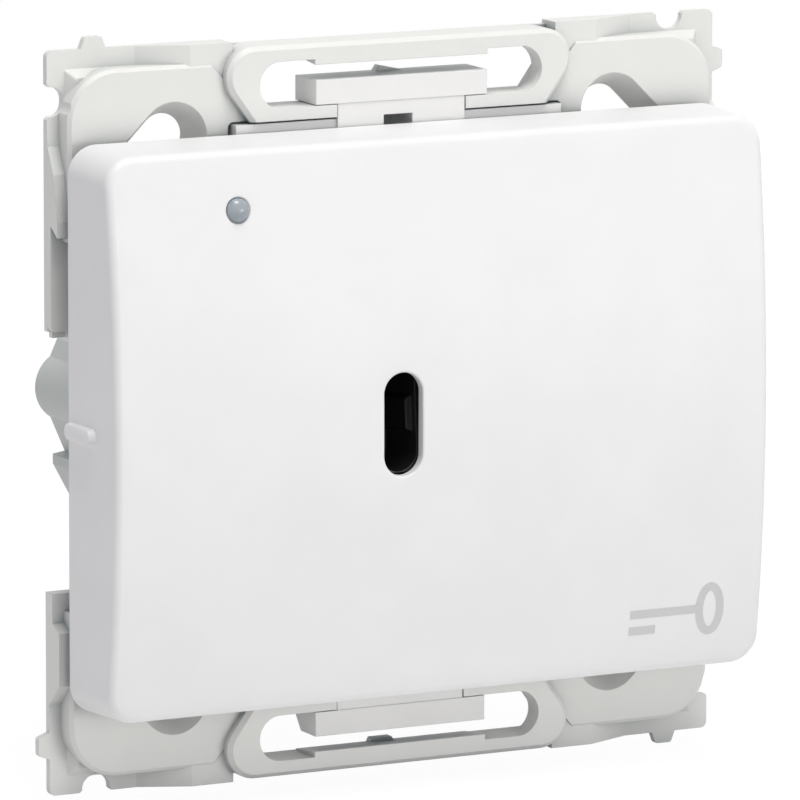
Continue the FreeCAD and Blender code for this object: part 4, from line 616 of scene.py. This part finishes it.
def cover_rows():
    """Rows of the cover's skin, from the inner middle to the outer middle."""
    wall, steps = COVER_WALL, (COVER_ARC_STEPS, COVER_SIDE_STEPS)
    outline, normal = rounded_outline(COVER_HALF_W, COVER_HALF_H, COVER_CORNER_R, *steps)
    inner, _ = rounded_outline(COVER_HALF_W - wall, COVER_HALF_H - wall, COVER_CORNER_R - wall, *steps)
    rows = []
    for share in np.linspace(MIDDLE_SHARE, 1, INNER_ROWS):
        flat = inner * share
        rows.append(leaning(flat, front_y(flat[:, 1], COVER_FRONT_WALL)))
    rows.append(leaning(inner, np.full(len(inner), COVER_REAR_Y)))
    rows.append(leaning(outline, np.full(len(outline), COVER_REAR_Y)))
    shoulder = front_y(outline[:, 1]) + COVER_EDGE_R
    for share in np.linspace(0, 1, SIDE_ROWS)[1:-1]:
        rows.append(leaning(outline, COVER_REAR_Y + (shoulder - COVER_REAR_Y) * share))
    for t in np.linspace(0, math.pi / 2, EDGE_ROWS):
        flat = outline - normal * COVER_EDGE_R * (1 - math.cos(t))
        y = front_y(flat[:, 1]) + COVER_EDGE_R * (1 - math.sin(t))
        rows.append(leaning(flat, y))
    edge = rows[-1][:, [0, 2]]
    for share in np.linspace(1, MIDDLE_SHARE, OUTER_ROWS)[1:]:
        flat = edge * share
        rows.append(np.column_stack([flat[:, 0], front_y(flat[:, 1]), flat[:, 1]]))
    return np.array(rows)


print("cover skin, rows by columns:", cover_rows().shape[:2])

# %% [markdown]
# The key slot and the lamp's hole are cut with the Boolean modifier. Their cutting bodies widen in a
# quarter round just where they meet the front, so both mouths get the small radius a mould leaves. A
# third body thins the front from behind, to make room for the key receiver's swing.

# %% Cutting bodies
KEY_X, KEY_Z, KEY_SLOT_W, KEY_SLOT_H, KEY_SKIN = -3.35, -0.08, 2.85, 6.96, 0.7
POCKET_HALF_W, POCKET_HALF_H, POCKET_CORNER_R = 3.025, 5.1, 0.6
LAMP_X, LAMP_Z, LENS_R, LENS_FIT = -15.08, 14.9, 0.80, 0.05
HOLE_R = LENS_R + LENS_FIT
MOUTH_R, MOUTH_ROWS, POCKET_EDGE_R, CUT_DEPTH, CUT_OVER = 0.14, 6, 0.05, 3.0, 1.0


def flared(half_a, half_b, radius, centre, depth):
    """Cutting body through the front at a centre: its mouth widens by a quarter round of MOUTH_R.
    Row at angle t: outset = MOUTH_R * (1 - cos t), height over the front = MOUTH_R * (sin t - 1)."""
    outline, normal = rounded_outline(half_a, half_b, radius, arc_steps=16, side_steps=6)
    flat_rows = [(outline, depth)]
    for t in np.linspace(0, math.pi / 2, MOUTH_ROWS):
        flat_rows.append((outline + normal * MOUTH_R * (1 - math.cos(t)), MOUTH_R * (1 - math.sin(t))))
    flat_rows.append((outline + normal * MOUTH_R, -CUT_OVER))
    grid = []
    for flat, under in flat_rows:
        x, z = flat[:, 0] + centre[0], flat[:, 1] + centre[1]
        grid.append(np.column_stack([x, front_y(z) + under, z]))
    return wrap(np.array(grid))


def cut(piece, cutters):
    """Piece with the cutting bodies taken out of it, as a plain mesh again."""
    for cutter in cutters:
        step = piece.modifiers.new("cut", "BOOLEAN")
        step.operation, step.solver, step.object = "DIFFERENCE", "EXACT", cutter
    seen = piece.evaluated_get(bpy.context.evaluated_depsgraph_get())
    data = bpy.data.meshes.new_from_object(seen)
    piece.modifiers.clear()
    piece.data = data
    for cutter in cutters:
        bpy.data.objects.remove(cutter)
    data.shade_smooth()
    data.set_sharp_from_angle(angle=math.radians(CUT_SHARP_DEGREES))


print("depth of the front at the key slot:", round(float(front_y(KEY_Z)), 2), "mm")

# %% [markdown]
# On each side of the cover stands a small pill-shaped nub. A capsule would be as quick to make, but it
# would bulge, and this one keeps a flat face that meets its sides in a small round. It starts inside the
# wall, so that no seam shows.

# %% Make the cover
NUB_L, NUB_H, NUB_PROUD, NUB_EDGE_R, NUB_LIFT, NUB_ROOT = 3.95, 1.2, 0.45, 0.3, 0.14, -0.8
NUB_END_R, NUB_FACE_INSET, ROUND_MIDDLE = 0.48 * NUB_H, 1.8 * NUB_EDGE_R, 0.29


def cover_nub(side):
    """Nub on one side of the cover, with one end at the rear rim. Each row is (inset of the outline,
    reach past the cover's side); ROUND_MIDDLE is 1 - cos 45 degrees."""
    outline, normal = rounded_outline(NUB_L / 2, NUB_H / 2, NUB_END_R)
    rows = ((0.0, NUB_ROOT), (0.0, NUB_PROUD - NUB_EDGE_R),
            (NUB_EDGE_R * ROUND_MIDDLE, NUB_PROUD - NUB_EDGE_R * ROUND_MIDDLE),
            (NUB_EDGE_R, NUB_PROUD), (NUB_FACE_INSET, NUB_PROUD))
    grid = []
    for inset, reach in rows:
        flat = outline - normal * inset
        x = np.full(len(flat), side * (COVER_HALF_W + reach))
        grid.append(np.column_stack([x, flat[:, 0] + COVER_REAR_Y - NUB_L / 2, flat[:, 1] + NUB_LIFT]))
    return wrap(np.array(grid))


cover = mesh_object("cover_shell", [wrap(cover_rows())], "cover_plastic")
cutting_bodies = {
    "slot_cutter": flared(KEY_SLOT_W / 2, KEY_SLOT_H / 2, KEY_SLOT_W / 2, (KEY_X, KEY_Z), CUT_DEPTH),
    "hole_cutter": flared(HOLE_R, HOLE_R, HOLE_R, (LAMP_X, LAMP_Z), CUT_DEPTH),
    "pocket_cutter": slab(POCKET_HALF_W, POCKET_HALF_H, POCKET_CORNER_R, COVER_FRONT_Y + KEY_SKIN,
                          COVER_REAR_Y, POCKET_EDGE_R, (KEY_X, 0.0)),
}
cut(cover, [mesh_object(name, [skin], "cover_plastic") for name, skin in cutting_bodies.items()])
settle(cover, "root", "cover_plastic", "front_cover")
nubs = mesh_object("cover_nubs", [cover_nub(-1), cover_nub(1)], "cover_plastic")
settle(nubs, "root", "cover_plastic")

# %% [markdown]
# ## Clips and posts
#
# Four snap clips reach from the cover's back through the insert's plate and hook behind it, and four
# posts keep the cover at its distance. A clip is a side outline given a width, and a post is turned like
# a short pin on a lathe. They hide behind the cover, so plain straight sides are enough for them.

# %% Add the clips and posts
CLIP_X, CLIP_Z, CLIP_W, CLIP_T, CLIP_BARB = 7.5, 16.5, 4.0, 1.2, 0.5
CLIP_LEDGE_Y, CLIP_TIP_Y = -0.55, 0.45
POST_X, POST_Z, POST_R, POST_END_Y, POST_BEVEL = 17.0, 8.5, 1.5, -2.0, 0.1


def prism(outline, low, high, axis=0):
    """Closed prism: an outline (n, 2) given a length along one axis (0 is X, 1 is Y) from low to high."""
    count = len(outline)
    rows = [np.insert(outline, axis, level, axis=1) for level in (low, high)]
    ring, after = np.arange(count), (np.arange(count) + 1) % count
    sides = np.stack([ring, after, after + count, ring + count], -1).tolist()
    return np.vstack(rows), [*sides, ring[::-1].tolist(), (ring + count).tolist()]


def lathe(profile, centre, steps=48):
    """Closed body turned about the depth axis: each (radius, y) of the profile becomes a ring
    centre + radius * (cos t, sin t)."""
    t = np.arange(steps) * 2 * math.pi / steps
    radius, y = np.array(profile)[:, 0, None], np.array(profile)[:, 1, None]
    return wrap(np.stack([centre[0] + radius * np.cos(t), np.broadcast_to(y, (len(y), steps)),
                          centre[1] + radius * np.sin(t)], -1))


def cover_clip(side, level):
    """Clip at one of the four corners of the cover's back."""
    root = front_y(CLIP_Z) + COVER_FRONT_WALL / 2
    inner, outer = CLIP_Z - CLIP_T / 2, CLIP_Z + CLIP_T / 2
    outline = np.array([(root, inner), (CLIP_TIP_Y, inner), (CLIP_TIP_Y, outer - CLIP_T / 4),
                        (CLIP_LEDGE_Y, outer + CLIP_BARB), (CLIP_LEDGE_Y, outer), (root, outer)]) * (1, level)
    return prism(outline, side * CLIP_X - CLIP_W / 2, side * CLIP_X + CLIP_W / 2)


quarters = [(side, level) for side in (-1, 1) for level in (-1, 1)]
clips = mesh_object("cover_clips", [cover_clip(*quarter) for quarter in quarters], "cover_plastic")
settle(clips, "root", "cover_plastic")
post_root = front_y(POST_Z) + COVER_FRONT_WALL / 2
post_profile = [(POST_R, post_root), (POST_R, POST_END_Y - POST_BEVEL), (POST_R - POST_BEVEL, POST_END_Y)]
posts = mesh_object("cover_posts", [lathe(post_profile, (side * POST_X, level * POST_Z))
                                    for side, level in quarters], "cover_plastic")
settle(posts, "root", "cover_plastic")

# %% [markdown]
# ## The lamp's light pipe
#
# One clear moulding carries the light: a low dome in the cover's hole, a stem with a flange under the
# front wall, an arm that runs sideways and a foot over the lamp. The dome is part of a sphere. A sphere
# cut in two would still have to be joined to its stem, while one lathe profile draws dome, stem and
# flange together, and sixteen rings keep the dome smooth.

# %% Make the light pipe
LENS_PROUD, LENS_TIP_R, FLANGE_R, FLANGE_T = 0.45, 0.02, 1.6, 0.6
ARM_T, ARM_HALF_W, LAMP_BELOW, FOOT_END_Y, WALL_GAP = 1.1, 0.9, (-9.5, 11.3), -4.95, 0.03
pipe_y = float(front_y(LAMP_Z + FLANGE_R, COVER_FRONT_WALL)) + WALL_GAP


def dome_profile(steps=16):
    """Profile of the dome and its stem: y = top + R - sqrt(R^2 - r^2), with R from the dome's width and
    height."""
    ball_r = (LENS_R ** 2 + LENS_PROUD ** 2) / (2 * LENS_PROUD)
    radius = np.linspace(LENS_TIP_R, LENS_R, steps)
    rise = front_y(LAMP_Z) - LENS_PROUD + ball_r - np.sqrt(ball_r ** 2 - radius ** 2)
    return [*zip(radius, rise), (LENS_R, pipe_y), (FLANGE_R, pipe_y), (FLANGE_R, pipe_y + FLANGE_T)]


def obround_outline(start, end, radius, steps=16):
    """Outline (n, 2) of a straight band with round ends between two points."""
    along = math.atan2(end[1] - start[1], end[0] - start[0])
    t = np.linspace(math.pi / 2, 3 * math.pi / 2, steps + 1) + along
    first = np.array(start) + radius * np.column_stack([np.cos(t), np.sin(t)])
    last = np.array(end) - radius * np.column_stack([np.cos(t), np.sin(t)])
    return np.vstack([first, last])


pipe = mesh_object("light_pipe", [
    lathe(dome_profile(), (LAMP_X, LAMP_Z), steps=64),
    prism(obround_outline((LAMP_X, LAMP_Z), LAMP_BELOW, ARM_HALF_W), pipe_y, pipe_y + ARM_T, axis=1),
    lathe([(ARM_HALF_W, pipe_y), (ARM_HALF_W, FOOT_END_Y)], LAMP_BELOW)], "clear_plastic", sharp_degrees=40)
settle(pipe, "root", "clear_plastic", "lamp_light_pipe")

# %% [markdown]
# ## The plunger's spring
#
# A spring wound on a mandrel has close coils at its ends and open ones in its middle. The middle line of
# the wire climbs with the angle, less a sine that slows it near both ends, and a small ring of points is
# carried along it. A curve with a round bevel would draw such a wire too, but an array of points can be
# closed at its ends and leaned with the rocker in one line. The coil shortens as the plunger is pushed
# in; here it is wound once, at rest, and rides on the rocker.

# %% Wind the spring
SPRING_X, SPRING_SEAT_Y, SPRING_HEAD_Y, PLUNGER_TRAVEL = -3.35, -2.85, 0.57, 0.6
ROCKER_PIVOT_Y, ROCKER_LEAN = -4.6, math.radians(-5)
COIL_R, WIRE_R, END_GAP, TURNS, CLOSING = 1.10, 0.15, 0.03, 6, 0.3


def leaned(points):
    """Points turned about the rocker's cross axis by its lean at rest."""
    y, z = points[..., 1] - ROCKER_PIVOT_Y, points[..., 2]
    return np.stack([points[..., 0], ROCKER_PIVOT_Y + y * math.cos(ROCKER_LEAN) - z * math.sin(ROCKER_LEAN),
                     y * math.sin(ROCKER_LEAN) + z * math.cos(ROCKER_LEAN)], -1)


def coil(steps=288, sides=12):
    """Wire round a helix: middle = (R cos t, y(s), R sin t), with y rising as
    s - CLOSING sin(2 pi s) / (2 pi), and round it a ring of radius WIRE_R in the plane of the radius and
    the axis."""
    low, high = SPRING_SEAT_Y + WIRE_R + END_GAP, SPRING_HEAD_Y - WIRE_R - END_GAP
    share = np.linspace(0, 1, steps)[:, None]
    turn = share * TURNS * 2 * math.pi
    around = np.arange(sides)[None] * 2 * math.pi / sides
    radius = COIL_R + WIRE_R * np.cos(around)
    climb = low + (high - low) * (share - CLOSING * np.sin(2 * math.pi * share) / (2 * math.pi))
    return np.stack([SPRING_X + radius * np.cos(turn), climb + WIRE_R * np.sin(around),
                     radius * np.sin(turn)], -1)


spring = mesh_object("coil_spring", [wrap(leaned(coil()))], "spring_steel")
settle(spring, "rocker", "spring_steel", "plunger_spring")
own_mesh(spring)

# %% [markdown]
# ## The printed key
#
# A small key in light grey is printed low on the right of the cover: a ring, a shaft and one short bar
# for its bit. An image could print it, but ribbons stay sharp from near by and need no unwrapping. It is
# a film of ink, so it is modelled as three closed ribbons that follow the curved front and stand 0.015 mm
# proud of it.

# %% Print the key symbol
RING_X, RING_Z, RING_HALF_W, RING_HALF_H, LINE_W = 20.35, -14.7, 0.80, 1.54, 0.60
SHAFT = ((14.22, -14.65), (19.65, -14.65))
BIT = ((14.18, -15.80), (16.22, -15.80))
INK_T, INK_ROOT = 0.015, 0.03


def ink_line(middle, across):
    """Closed ribbon of ink: for each point of its middle line, four corners, half a line either side,
    just over and just under the curved front."""
    sides = ((1, -INK_T), (-1, -INK_T), (-1, INK_ROOT), (1, INK_ROOT))
    columns = []
    for sign, lift in sides:
        flat = middle + across * sign * LINE_W / 2
        columns.append(np.column_stack([flat[:, 0], front_y(flat[:, 1]) + lift, flat[:, 1]]))
    return np.stack(columns, 1)


def straight_line(start, end, steps=8):
    """Straight ribbon with closed ends."""
    share = np.linspace(0, 1, steps + 1)[:, None]
    middle = np.array(start) * (1 - share) + np.array(end) * share
    run = np.array(end) - np.array(start)
    along = run / np.linalg.norm(run)
    across = np.repeat(np.array([[-along[1], along[0]]]), steps + 1, 0)
    return wrap(ink_line(middle, across))


def ring_line(steps=64):
    """Oval ribbon: middle = (a cos t, b sin t), across = its normal (b cos t, a sin t), made unit length."""
    t = np.arange(steps) * 2 * math.pi / steps
    middle = np.column_stack([RING_X + RING_HALF_W * np.cos(t), RING_Z + RING_HALF_H * np.sin(t)])
    across = np.column_stack([RING_HALF_H * np.cos(t), RING_HALF_W * np.sin(t)])
    across /= np.linalg.norm(across, axis=1)[:, None]
    grid = ink_line(middle, across)
    rows, columns = grid.shape[:2]
    row, column = np.meshgrid(np.arange(rows), np.arange(columns), indexing="ij")
    below, beside = (row + 1) % rows, (column + 1) % columns
    quads = np.stack([row * columns + column, row * columns + beside,
                      below * columns + beside, below * columns + column], -1)
    return grid.reshape(-1, 3), quads.reshape(-1, 4).tolist()


symbol = mesh_object("key_symbol", [ring_line(), straight_line(*SHAFT), straight_line(*BIT)],
                     "printed_grey")
settle(symbol, "root", "cover_plastic")
